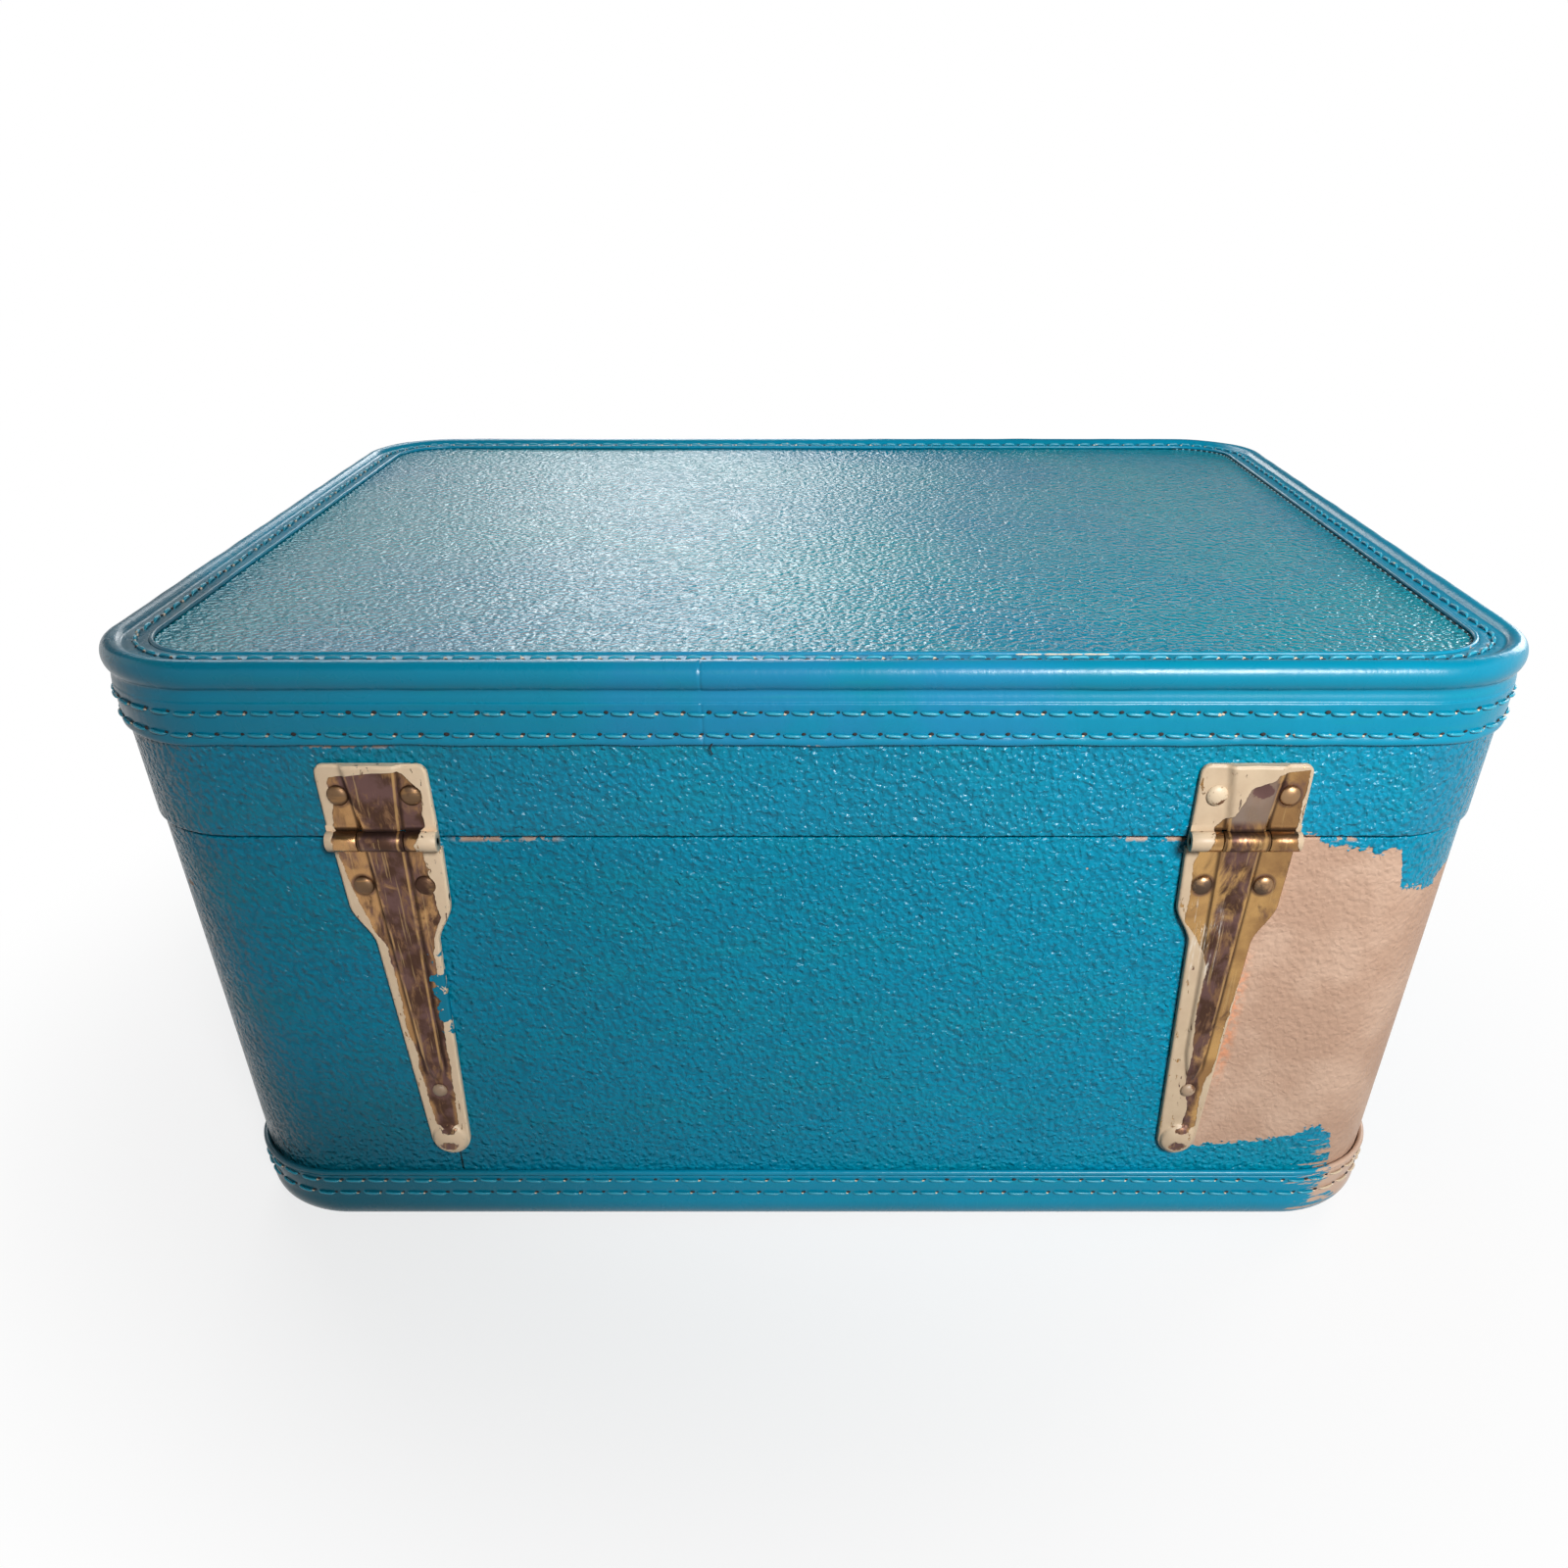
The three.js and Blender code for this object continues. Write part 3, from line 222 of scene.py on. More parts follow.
def rounded(corners, radii, steps=4):
    """A closed outline of 2D corners, each cut back by its radius and bridged by a curve."""
    points = []
    count = len(corners)
    corners = np.asarray(corners, float)
    for index in range(count):
        here, radius = corners[index], radii[index]
        if radius == 0:
            points.append(here)
            continue
        before, after = corners[index - 1] - here, corners[(index + 1) % count] - here
        a = here + before / np.linalg.norm(before) * min(radius, np.linalg.norm(before) / 2)
        b = here + after / np.linalg.norm(after) * min(radius, np.linalg.norm(after) / 2)
        for step in range(steps + 1):
            t = step / steps
            points.append((1 - t) ** 2 * a + 2 * t * (1 - t) * here + t**2 * b)
    return np.array(points)


def filled_in(profile, longest):
    """The closed outline again, with points no further apart than longest."""
    points = []
    for a, b in zip(profile, np.roll(profile, -1, axis=0)):
        count = max(1, math.ceil(np.linalg.norm(b - a) / longest))
        points.extend(a + (b - a) * k / count for k in range(count))
    return np.array(points)


def ellipse(middle, radii, start, end, steps):
    turn = np.radians(np.linspace(start, end, steps + 1))
    return np.stack([middle[0] + radii[0] * np.cos(turn), middle[1] + radii[1] * np.sin(turn)], 1)


def profile_normals(profile):
    """Unit normals of a closed 2D outline, pointing out of it."""
    way = np.roll(profile, -1, axis=0) - np.roll(profile, 1, axis=0)
    normals = np.stack([way[:, 1], -way[:, 0]], 1)
    normals /= np.maximum(np.linalg.norm(normals, axis=1), 1e-12)[:, None]
    after = np.roll(profile, -1, axis=0)
    area = (profile[:, 0] * after[:, 1] - after[:, 0] * profile[:, 1]).sum()
    return normals if area > 0 else -normals


def swept(s, profile, swell=None):
    """Rows of points of a closed [offset, height] outline run round the case. swell moves them outwards."""
    point, normal = around(s)
    offset = np.broadcast_to(profile[:, 0], (len(s), len(profile)))
    height = np.broadcast_to(profile[:, 1], (len(s), len(profile)))
    if swell is not None:
        out = profile_normals(profile)
        offset = offset + swell * out[:, 0]
        height = height + swell * out[:, 1]
    plan = point[:, None, :] + normal[:, None, :] * offset[:, :, None]
    return np.concatenate([plan, height[:, :, None]], axis=2)


def ring_piece(name, s, profile, material, swell=None):
    along = np.append(s, s[0] + ROUND_IT)
    return grid_piece(name, swept(s, profile, swell), material, True, True, along)


def fit(piece, body, slot, *nodes):
    """The piece rides on a body and stands for the nodes, which are hidden. slot is not used."""
    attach(piece, body)
    if nodes:
        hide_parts(*nodes)
    return piece


# Materials


def srgb(red, green, blue):
    def linear(channel):
        share = channel / 255
        return share / 12.92 if share <= 0.04045 else ((share + 0.055) / 1.055) ** 2.4

    return (linear(red), linear(green), linear(blue), 1.0)


TEAL = srgb(0, 131, 163)
TEAL_DEEP = srgb(0, 124, 153)
TEAL_BLUE = srgb(34, 118, 166)
TEAL_DULL = srgb(16, 122, 152)
TEAL_GREEN = srgb(0, 134, 150)
BEIGE = srgb(174, 142, 121)
BEIGE_LIGHT = srgb(190, 160, 139)
ORANGE = srgb(226, 138, 88)
CREAM = srgb(200, 180, 152)
OLD_CREAM = (CREAM, srgb(172, 148, 122))
# A paler copy of the cream paint, as painted light, for the hinge that the lamps light less.
CREAM_WITH_PAINTED_LIGHT = (srgb(248, 224, 192), srgb(226, 196, 162))
TAN = srgb(178, 136, 92)
GOLD = srgb(196, 154, 98)
BROWNED_GOLD = srgb(154, 116, 76)
TARNISH = srgb(78, 56, 46)
PURPLE = srgb(104, 78, 74)
BRONZE = srgb(126, 94, 70)
RIVET_GREY = srgb(88, 72, 60)
MISSED = srgb(158, 134, 110)
SILVER = srgb(150, 138, 128)


class Value:
    """A node's output, which sums, differences, products and quotients can be written with."""

    def __init__(self, surface, socket):
        self.surface = surface
        self.socket = socket

    def __add__(self, other):
        return self.surface.calc("ADD", self, other)

    def __sub__(self, other):
        return self.surface.calc("SUBTRACT", self, other)

    def __rsub__(self, other):
        return self.surface.calc("SUBTRACT", other, self)

    def __mul__(self, other):
        return self.surface.calc("MULTIPLY", self, other)

    def __truediv__(self, other):
        return self.surface.calc("DIVIDE", self, other)

    def __abs__(self):
        return self.surface.calc("ABSOLUTE", self)


class Surface:
    """A material, with short calls that add its nodes."""

    def __init__(self, name, **sockets):
        self.material = bpy.data.materials.new(name)
        self.material.use_nodes = True
        self.nodes = self.material.node_tree.nodes
        self.links = self.material.node_tree.links
        self.shader = self.nodes["Principled BSDF"]
        self.place = self.add("ShaderNodeTexCoord").outputs["Object"]
        self.set(**sockets)

    def add(self, kind, inputs=(), **settings):
        node = self.nodes.new(kind)
        for name, value in settings.items():
            setattr(node, name, value)
        for name, value in dict(inputs).items():
            self.feed(node.inputs[name], value)
        return node

    def out(self, kind, output, inputs=(), **settings):
        """Adds a node and gives one of its outputs."""
        return Value(self, self.add(kind, inputs, **settings).outputs[output])

    def feed(self, socket, value):
        if isinstance(value, Value):
            value = value.socket
        if isinstance(value, bpy.types.NodeSocket):
            self.links.new(value, socket)
        else:
            socket.default_value = value

    def set(self, **sockets):
        for name, value in sockets.items():
            self.feed(self.shader.inputs[name.replace("_", " ").title().replace("Ior", "IOR")], value)

    def noise(self, scale, detail=3.0, distortion=0.0, place=None, roughness=0.55):
        inputs = {"Vector": place or self.place, "Scale": scale, "Detail": detail}
        inputs.update({"Distortion": distortion, "Roughness": roughness})
        return self.out("ShaderNodeTexNoise", "Fac", inputs)

    def cells(self, scale, place, feature, **smoothing):
        inputs = {"Vector": place, "Scale": scale, **smoothing}
        return self.out("ShaderNodeTexVoronoi", "Distance", inputs, feature=feature)

    def stretched(self, x, y, z):
        return self.out("ShaderNodeMapping", "Vector", {"Vector": self.place, "Scale": (x, y, z)})

    def calc(self, operation, a, b=0.0, c=0.0):
        return self.out("ShaderNodeMath", "Value", {0: a, 1: b, 2: c}, operation=operation)

    def scaled(self, value, factor, more):
        """The value times the factor, and more added."""
        return self.calc("MULTIPLY_ADD", value, factor, more)

    def most(self, a, b):
        return self.calc("MAXIMUM", a, b)

    def least(self, a, b):
        return self.calc("MINIMUM", a, b)

    def step(self, value, low, high):
        """0 under low, 1 over high, smooth between them."""
        inputs = {"Value": value, "From Min": low, "From Max": high}
        return self.out("ShaderNodeMapRange", "Result", inputs, interpolation_type="SMOOTHSTEP")

    def mix(self, share, a, b):
        return self.out("ShaderNodeMix", 2, {0: share, 6: a, 7: b}, data_type="RGBA")

    def blend(self, share, a, b):
        return self.out("ShaderNodeMix", 0, {0: share, 2: a, 3: b}, data_type="FLOAT")

    def unrolled(self):
        """The place along the outline and the height, in millimetres."""
        uv = self.out("ShaderNodeUVMap", "UV", uv_map="unrolled")
        parts = self.add("ShaderNodeSeparateXYZ", {"Vector": uv})
        return [Value(self, parts.outputs[axis]) / MM for axis in "XY"]

    def curve(self, value, points):
        """A line through given points, from value to result, held level past its ends."""
        points = sorted(points)
        results = [p[1] for p in points]
        low, high = points[0][0], points[-1][0]
        bottom = min(results)
        spread = max(max(results) - bottom, 1e-6)
        node = self.add("ShaderNodeFloatCurve", {"Value": (value - low) / (high - low)})
        line = node.mapping.curves[0]
        for x, y in points[1:-1]:
            line.points.new((x - low) / (high - low), (y - bottom) / spread)
        line.points[0].location = (0.0, (results[0] - bottom) / spread)
        line.points[len(line.points) - 1].location = (1.0, (results[-1] - bottom) / spread)
        for point in line.points:
            point.handle_type = "VECTOR"
        node.mapping.update()
        return self.scaled(node.outputs["Value"], spread, bottom)

    def bump(self, height, distance, strength=1.0, normal=None):
        inputs = {"Height": height, "Distance": distance, "Strength": strength}
        if normal is not None:
            inputs["Normal"] = normal
        return self.out("ShaderNodeBump", "Normal", inputs)


def pebbles(surface):
    """The covering's grain: rounded bumps a few millimetres apart with short ridges between them."""
    warp = surface.noise(300, 2.0)
    reach = (1.4 * MM, 1.4 * MM, 1.4 * MM)
    push = surface.out("ShaderNodeVectorMath", "Vector", {0: reach, "Scale": warp}, operation="SCALE")
    place = surface.out("ShaderNodeVectorMath", "Vector", {0: surface.place, 1: push}, operation="ADD")
    bumps = surface.cells(560, place, "SMOOTH_F1", Smoothness=0.8)
    ridges = surface.noise(620, 0.6, 0.8, place)
    return surface.scaled(bumps, -0.85, surface.scaled(ridges, 0.7, 0.5))


PATCH_ENDS = (-233.0, -126.0)
PATCH_TOP = [
    (-236, 128), (-222, 132), (-206, 138), (-197, 136.5), (-192, 131.5), (-187, 132), (-178.5, 135),
    (-176.5, 143), (-175, 147.2), (-171, 147), (-168.5, 145.2), (-166, 147), (-152, 148.4), (-148, 152),
    (-126, 152),
]
PATCH_BOTTOM = [
    (-236, 40), (-225, 26), (-214, 12), (-205, 6), (-194, 5), (-189, 8), (-185.5, 13), (-184.5, 20),
    (-183.5, 29), (-181, 37), (-178, 41), (-173, 42), (-166, 38), (-153, 36), (-132, 34), (-126, 33.5),
]
SEAM_BITS = [
    (-250, 0), (-163, 0), (-160, 0.9), (-148, 1), (-146, 0), (-114, 0), (-111, 1), (-92, 0.8), (-89, 0),
    (74, 0), (78, 0.8), (104, 1), (108, 0), (250, 0),
]
BAND_BITS = [(-250, 0), (118, 0), (122, 0.8), (142, 0.9), (146, 0), (250, 0)]


def bare_patch(surface, grain):
    """Where the back was left unpainted beside one hinge: 1 there, with a brushed, broken edge."""
    s, z = surface.unrolled()
    top = surface.curve(s, PATCH_TOP) - z
    bottom = z - surface.curve(s, PATCH_BOTTOM)
    far = s - PATCH_ENDS[0]
    near = PATCH_ENDS[1] - s
    inside = surface.least(surface.least(top, bottom), surface.least(far, near))
    brush = surface.noise(150, 4.0, 0.6, surface.stretched(1, 1, 2.6), 0.65)
    streaked = surface.step(s, -158.0, -178.0) * surface.step(z, 46.0, 34.0)
    reach = surface.scaled(streaked, 11.0, 6.5)
    ragged = surface.scaled(brush - 0.5, reach, inside)
    broken = surface.scaled(grain - 0.45, -3.0, ragged)
    along = s * (0.1 * MM)
    flat = surface.add("ShaderNodeCombineXYZ", {"X": along, "Y": z * MM})
    strokes = surface.noise(620, 3.0, 0.3, flat.outputs["Vector"], 0.6)
    share = surface.step(s, -163.0, -187.0) * surface.step(z, 40.0, 34.0)
    share = share * surface.step(s, -215.0, -205.0)
    strokes = surface.scaled(share, 0.26, surface.scaled(grain, 0.12, strokes))
    strokes = surface.step(strokes, 0.76, 0.8) * surface.step(share, 0.05, 0.2)
    return surface.most(surface.step(broken, -0.25, 0.35), strokes), s, z


def seam_bits(surface, s, z, edge, places):
    """Specks of the old colour along an edge, where the brush missed it."""
    amount = surface.curve(s, places)
    near = surface.step(z, edge - 1.6, edge - 0.6) * surface.step(z, edge + 0.6, edge + 0.5)
    broken = surface.step(surface.noise(330, 3.0), 0.48, 0.54)
    return amount * near * broken


# Spots on the shell, as their place and half their size along and up, in millimetres

CHIP = (197.0, 131.0, 2.6, 1.0)
CRACK = (124.6, 27.0, 0.45, 5.0)


def mark(surface, s, z, place):
    """A small ragged spot at (s, z), given its half sizes along and up."""
    along = (s - place[0]) / place[2]
    up = (z - place[1]) / place[3]
    squares = surface.scaled(along, along, up * up)
    uneven = surface.scaled(surface.noise(700, 3.0), 1.6, squares)
    return surface.step(uneven, 1.7, 1.4)


def grime_and_painted_shade(surface, s, z, colour):
    """The colour again: duller and browner round one back corner, grime that also stands in for the shade
    there, and darker near the ground on that side, which is painted shade.
    """
    uneven = surface.scaled(surface.noise(70, 4.0) - 0.5, 30.0, s)
    # Grime browning one back corner, which also stands in for that corner's shade.
    corner = surface.step(uneven, 176.0, 206.0) * surface.step(s, 300.0, 250.0)
    # Painted shade: the paint darker towards the ground over that side of the back.
    low = surface.step(uneven, 40.0, 190.0) * surface.step(z, 90.0, 6.0)
    low = low * surface.step(s, 300.0, 250.0)
    colour = surface.mix(low * 0.6, colour, srgb(6, 62, 66))
    return surface.mix(corner * 0.5, colour, srgb(62, 54, 46))


def painted_vinyl(name, roughness, shine, depth, main=TEAL, dull_end=False):
    """Pebbled vinyl under brushed teal paint, beige where the paint is missing, with painted shade in the
    grain's hollows.
    """
    surface = Surface(name)
    grain = pebbles(surface)
    bare, s, z = bare_patch(surface, grain)
    broad = surface.step(surface.noise(9, 3.0, 0.4), 0.35, 0.68)
    streaks = surface.step(surface.noise(60, 4.0, 0.3, surface.stretched(0.35, 0.35, 1.6)), 0.42, 0.7)
    paint = surface.mix(broad, main, TEAL_DEEP)
    paint = surface.mix(streaks * 0.35, paint, TEAL_GREEN)
    # Painted shade: the paint made darker in the grain's hollows.
    painted_hollow_shade = surface.step(grain, 0.5, 0.2)
    paint = surface.mix(painted_hollow_shade * 0.3, paint, srgb(0, 84, 110))
    if dull_end:
        end = surface.scaled(surface.noise(90, 3.0) - 0.5, 14.0, s)
        paint = surface.mix(surface.step(end, -170.0, -178.0), paint, TEAL_DULL)
    old = surface.mix(surface.step(surface.noise(30, 3.0), 0.4, 0.65), BEIGE, BEIGE_LIGHT)
    flush = surface.step(s, -140.0, -135.5) * surface.step(z, 56.0, 76.0)
    flush = flush * surface.step(z, 116.0, 100.0)
    flush = flush * surface.step(surface.noise(420, 3.0), 0.38, 0.62)
    old = surface.mix(flush * 0.55, old, ORANGE)
    bits = seam_bits(surface, s, z, BASE_TOP / MM, SEAM_BITS)
    bits = surface.most(bits, seam_bits(surface, s, z, LID_BAND_BOTTOM / MM, BAND_BITS))
    chips = surface.step(surface.noise(210, 2.0), 0.80, 0.82) * surface.step(z, 1.0, 2.0)
    chips = surface.most(chips, mark(surface, s, z, CHIP))
    shown = surface.most(bare, surface.most(bits, chips))
    colour = surface.mix(shown, paint, old)
    colour = surface.mix(mark(surface, s, z, CRACK), colour, srgb(0, 34, 44))
    # The base colour, with grime round one back corner and painted shade low on that side.
    surface.set(base_color=grime_and_painted_shade(surface, s, z, colour))
    dulled = surface.blend(surface.noise(40, 3.0), roughness - 0.05, roughness + 0.1)
    surface.set(roughness=surface.blend(shown, dulled, 0.5), specular_ior_level=shine)
    relief = surface.bump(grain, surface.blend(shown, depth, 0.4 * depth))
    fine = surface.bump(surface.noise(1500, 2.0), 0.05 * MM, 0.5, relief)
    edge = surface.bump(1.0 - shown, 0.12 * MM, 0.7, fine)
    surface.set(normal=edge)
    return surface.material


BLUE_BAND = [(-250, 0), (-74, 0), (-60, 0.85), (0, 1), (52, 0.9), (66, 0), (250, 0)]


def painted_binding(name):
    """Smooth vinyl binding under the same paint, with fine wrinkles across it and brush streaks along it."""
    surface = Surface(name)
    grain = surface.noise(300, 3.0, 0.8)
    bare, s, z = bare_patch(surface, grain)
    broad = surface.step(surface.noise(12, 3.0, 0.5), 0.35, 0.7)
    paint = surface.mix(broad, TEAL, TEAL_DEEP)
    blue = surface.curve(s, BLUE_BAND) * surface.step(z, 100.0, 120.0)
    blue = blue * surface.step(surface.noise(45, 3.0), 0.25, 0.6)
    paint = surface.mix(blue * 0.5, paint, TEAL_BLUE)
    streaks = surface.step(surface.noise(140, 4.0, 0.0, surface.stretched(0.25, 0.25, 3.0)), 0.5, 0.75)
    paint = surface.mix(streaks * 0.4, paint, TEAL_GREEN)
    low = surface.step(surface.noise(420, 3.0), 0.62, 0.7)
    cut_edge = surface.step(abs(z - LID_BAND_BOTTOM / MM), 0.6, 0.1)
    worn = cut_edge * low * 0.8
    chips = surface.step(surface.noise(260, 2.0), 0.79, 0.81)
    shown = surface.most(bare, surface.most(worn, chips))
    # The base colour, with grime round one back corner and painted shade low on that side.
    surface.set(base_color=grime_and_painted_shade(surface, s, z, surface.mix(shown, paint, BEIGE_LIGHT)))
    surface.set(roughness=surface.blend(surface.noise(70, 3.0), 0.2, 0.36), specular_ior_level=0.28)
    wrinkles = surface.noise(260, 4.0, 0.5, surface.stretched(1.6, 1.6, 0.5), 0.6)
    relief = surface.bump(wrinkles, 0.18 * MM, 0.6)
    fine = surface.bump(surface.noise(1800, 2.0), 0.04 * MM, 0.5, relief)
    surface.set(normal=surface.bump(1.0 - bare, 0.12 * MM, 0.7, fine))
    return surface.material


def painted_thread():
    surface = Surface("painted_thread", roughness=0.36)
    bare = bare_patch(surface, surface.noise(300, 3.0, 0.8))[0]
    tint = surface.mix(surface.noise(90, 3.0), srgb(10, 134, 162), srgb(40, 154, 176))
    specks = surface.step(surface.noise(380, 2.0), 0.68, 0.73)
    surface.set(base_color=surface.mix(surface.most(bare, specks), tint, CREAM))
    fibres = surface.noise(2400, 2.0, 0.0, surface.stretched(1, 1, 2))
    surface.set(normal=surface.bump(fibres, 0.08 * MM, 0.6))
    return surface.material


def tinted(name, roughness, scale, first, second, fine_scale=0, depth=0):
    """A plain surface between two colours, with a fine relief where it has a depth."""
    surface = Surface(name, roughness=roughness)
    surface.set(base_color=surface.mix(surface.noise(scale, 2.0), first, second))
    if depth:
        surface.set(normal=surface.bump(surface.noise(fine_scale, 2.0), depth, 0.6))
    return surface.material


# Each hinge's cream paint, as [height over the seam, distance from its middle towards +X], in millimetres

LEFT_IN_PHOTO_PLUS = [
    (-120, -4.0), (-110, -4.0), (-107.6, 1.6), (-106.5, 3.6), (-95, 4.2), (-80, 4.9), (-60, 6.0),
    (-42, 6.6), (-36, 6.6), (-30, 9.5), (-20, 12.6), (-4, 14.6), (0, 13.8), (6, 13.0), (14, 12.4),
    (19, 12), (20.5, 3), (21.6, -17), (23, -17),
]
LEFT_IN_PHOTO_MINUS = [
    (-120, 4.0), (-110, 4.0), (-107.6, -1.6), (-106.5, -4.0), (-95, -4.4), (-72, -5.2), (-62, -6.4),
    (-48, -6.8), (-40, -7.6), (-34, -8.6), (-26, -11.6), (-14, -11.0), (-4, -10.6), (0, -9.4),
    (4, -12.4), (14, -13.4), (19, -10.0), (23, -6.0),
]
RIGHT_IN_PHOTO_PLUS = [
    (-120, -3.0), (-111, -3.0), (-107, -0.5), (-100, -1.2), (-88, 0.8), (-70, 2.4), (-56, 3.4),
    (-44, 3.2), (-38, 5.4), (-33, 8.0), (-28, 12.2), (-10, 13.2), (-4, 12.0), (0, 10.0), (4, 9.4),
    (8, 4.5), (12, 2.5), (16, 1.0), (18, -4.0), (20.4, -6.0), (21.4, -17), (23, -17),
]
RIGHT_IN_PHOTO_MINUS = [
    (-120, 3.0), (-111, 3.0), (-107.6, -5.4), (-98, -5.2), (-90, -4.6), (-84, -6.6), (-70, -7.3),
    (-50, -8.8), (-38, -10.4), (-30, -17), (-4, -17), (0, -14.6), (16, -14.6), (23, -14.8),
]
TEAL_SMEAR = [(-120, -30), (-68, -30), (-65, -5.4), (-54, -5.0), (-46, -6.4), (-43, -30), (23, -30)]

# Spots on a hinge, as its place there and half its size, in millimetres

LEAF_SPOT = (-2.2, 15.4, 3.6, 2.6)
TAIL_TOP = (-0.6, -108.6, 2.6, 1.4)
TAIL_END = (0.2, -115.0, 3.4, 2.2)
RIVET_PLACES = [(-10.5, 13.7), (10.5, 13.7), (-9.2, -15.3), (9.2, -15.3), (0.0, -92.0)]
FAR_FROM_RIVETS = 99.0


def near_rivets(surface, u, z):
    """1 in a thin ring round each rivet's head, where grime has gathered."""
    nearest_one = FAR_FROM_RIVETS
    for x, y in RIVET_PLACES:
        across, along = u - x, z - y
        squares = surface.scaled(across, across, along * along)
        nearest_one = surface.least(nearest_one, surface.calc("SQRT", squares))
    return surface.step(nearest_one, 4.3, 3.3)


def browned(surface, u, z, worst):
    """Where the brass has gone brown: along the rib, in a V on the leaf, and in patches."""
    leaf_v = surface.scaled(surface.most(z - 6.0, 0.0), 0.36, 4.2)
    half = surface.curve(z, [(-120, 3.0), (-70, 3.4), (-2, 5.2), (23, 5.2)])
    half = surface.most(half, leaf_v * surface.step(z, 0.0, 5.0))
    rib = surface.step(abs(u) - half, 1.6, -1.6) * surface.step(z, 21.0, 16.0)
    patches = surface.noise(95, 6.0, 0.8, surface.stretched(1, 1, 0.55), 0.66)
    return surface.step(surface.scaled(rib, 0.2, patches), 0.62 - worst, 0.8 - worst)


def worn_brass(name, plus, minus, gold, worst, cream_paint, smear=None, scratched=0.0, grey_leaf=False):
    """Stamped brass, brown where it has tarnished, with cream paint left along its edges, painted shade
    beside the rib and over the knuckles, and a painted highlight on the rib's edges.
    """
    surface = Surface(name, metallic=1.0)
    u, z = surface.unrolled()
    ragged = surface.noise(110, 3.0, 0.4, None, 0.55) - 0.5
    fine_edge = surface.noise(650, 3.0) - 0.5
    wide = surface.scaled(ragged, 3.2, fine_edge * 0.9)
    over = u + wide - surface.curve(z, plus)
    under = surface.curve(z, minus) - (u + wide)
    painted = surface.most(over, under)
    cream = surface.step(painted, -0.1, 0.12)
    chips = surface.step(surface.noise(300, 4.0, 0.4, surface.stretched(1.5, 1.5, 0.5), 0.7), 0.62, 0.64)
    cream = cream * (1.0 - chips)
    tail_worn = surface.most(mark(surface, u, z, TAIL_END), mark(surface, u, z, TAIL_TOP))
    cream = cream * (1.0 - tail_worn)
    tarnish = browned(surface, u, z, worst)
    tarnish = surface.most(tarnish, near_rivets(surface, u, z) * 0.8)
    mottled = surface.noise(60, 4.0, 0.4)
    metal = surface.mix(surface.step(mottled, 0.35, 0.65), gold, BROWNED_GOLD)
    brown = surface.mix(surface.step(surface.noise(140, 5.0), 0.4, 0.6), TARNISH, PURPLE)
    rubbed = surface.step(surface.noise(260, 5.0, 0.6, surface.stretched(1.2, 1.2, 0.4), 0.7), 0.5, 0.66)
    metal = surface.mix(tarnish, metal, surface.mix(rubbed, brown, BRONZE))
    if grey_leaf:
        grey = surface.step(abs(u), 7.0, 5.0) * surface.step(z, 4.5, 7.0)
        metal = surface.mix(grey * 0.9, metal, surface.mix(mottled, BRONZE, SILVER))
        metal = surface.mix(mark(surface, u, z, LEAF_SPOT), metal, PURPLE)
    fine_lines = surface.stretched(3.0, 3.0, 0.12)
    scratches = surface.step(surface.noise(300, 3.0, 0.3, fine_lines), 0.62, 0.68)
    metal = surface.mix(scratches * 0.3, metal, srgb(206, 172, 118))
    rib_edge = surface.curve(z, [(-120, 0.0), (-88, 1.6), (-84, 2.6), (0, 5.3), (8, 5.8), (23, 7.4)])
    past_rib = abs(u) - rib_edge
    on_strap = surface.step(z, -90.0, -80.0)
    # Painted shade: a dark line beside each edge of the strap's rib, and a dark band where the leaf meets the
    # knuckles.
    painted_shade_lines = surface.step(past_rib, 0.3, 0.7) * surface.step(past_rib, 1.9, 0.9)
    gap = surface.step(abs(z - 3.1), 1.1, 0.4)
    painted_shade_lines = surface.most(painted_shade_lines * on_strap, gap)
    metal = surface.mix(painted_shade_lines * 0.75, metal, srgb(52, 38, 32))
    # Painted highlight: a lighter brass line on the rib's edges.
    painted_ridge_highlight = surface.step(abs(past_rib + 0.2), 0.5, 0.15)
    painted_ridge_highlight = painted_ridge_highlight * (on_strap * surface.step(mottled, 0.36, 0.56))
    metal = surface.mix(painted_ridge_highlight * 0.65, metal, srgb(196, 156, 104))
    paint = surface.mix(surface.noise(140, 4.0), *cream_paint)
    colour = surface.mix(cream, metal, paint)
    covered = cream
    if scratched:
        window = surface.step(z, -56.0, -40.0) * surface.step(z, -18.0, -26.0)
        window = window * surface.step(u, 0.0, 1.6)
        window = window * surface.step(surface.noise(90, 3.0), 0.4, 0.6)
        strokes = surface.step(surface.noise(900, 3.0, 0.5, surface.stretched(1.6, 1.6, 0.09)), 0.52, 0.6)
        strokes = strokes * window * scratched
        colour = surface.mix(strokes, colour, srgb(214, 204, 190))
        covered = surface.most(covered, strokes)
    if smear:
        uneven = surface.noise(330, 4.0, 0.5) - 0.5
        shifted = surface.scaled(uneven, 60.0, z)
        edge = surface.curve(shifted, smear) - surface.scaled(wide, 1.6, u)
        teal = surface.step(edge, -0.2, 0.3)
        colour = surface.mix(teal, colour, TEAL_DEEP)
        covered = surface.most(covered, teal)
    surface.set(base_color=colour, specular_ior_level=0.3, metallic=1.0 - covered)
    bright = surface.blend(tarnish, 0.26, 0.42)
    bright = surface.scaled(painted_shade_lines, 0.25, bright)
    surface.set(roughness=surface.blend(covered, bright, 0.4))
    relief = surface.bump(covered, 0.22 * MM)
    pits = surface.bump(surface.noise(700, 4.0), 0.05 * MM, 0.6, relief)
    surface.set(normal=surface.bump(surface.noise(120, 3.0), 0.35 * MM, 0.5, pits))
    return surface.material


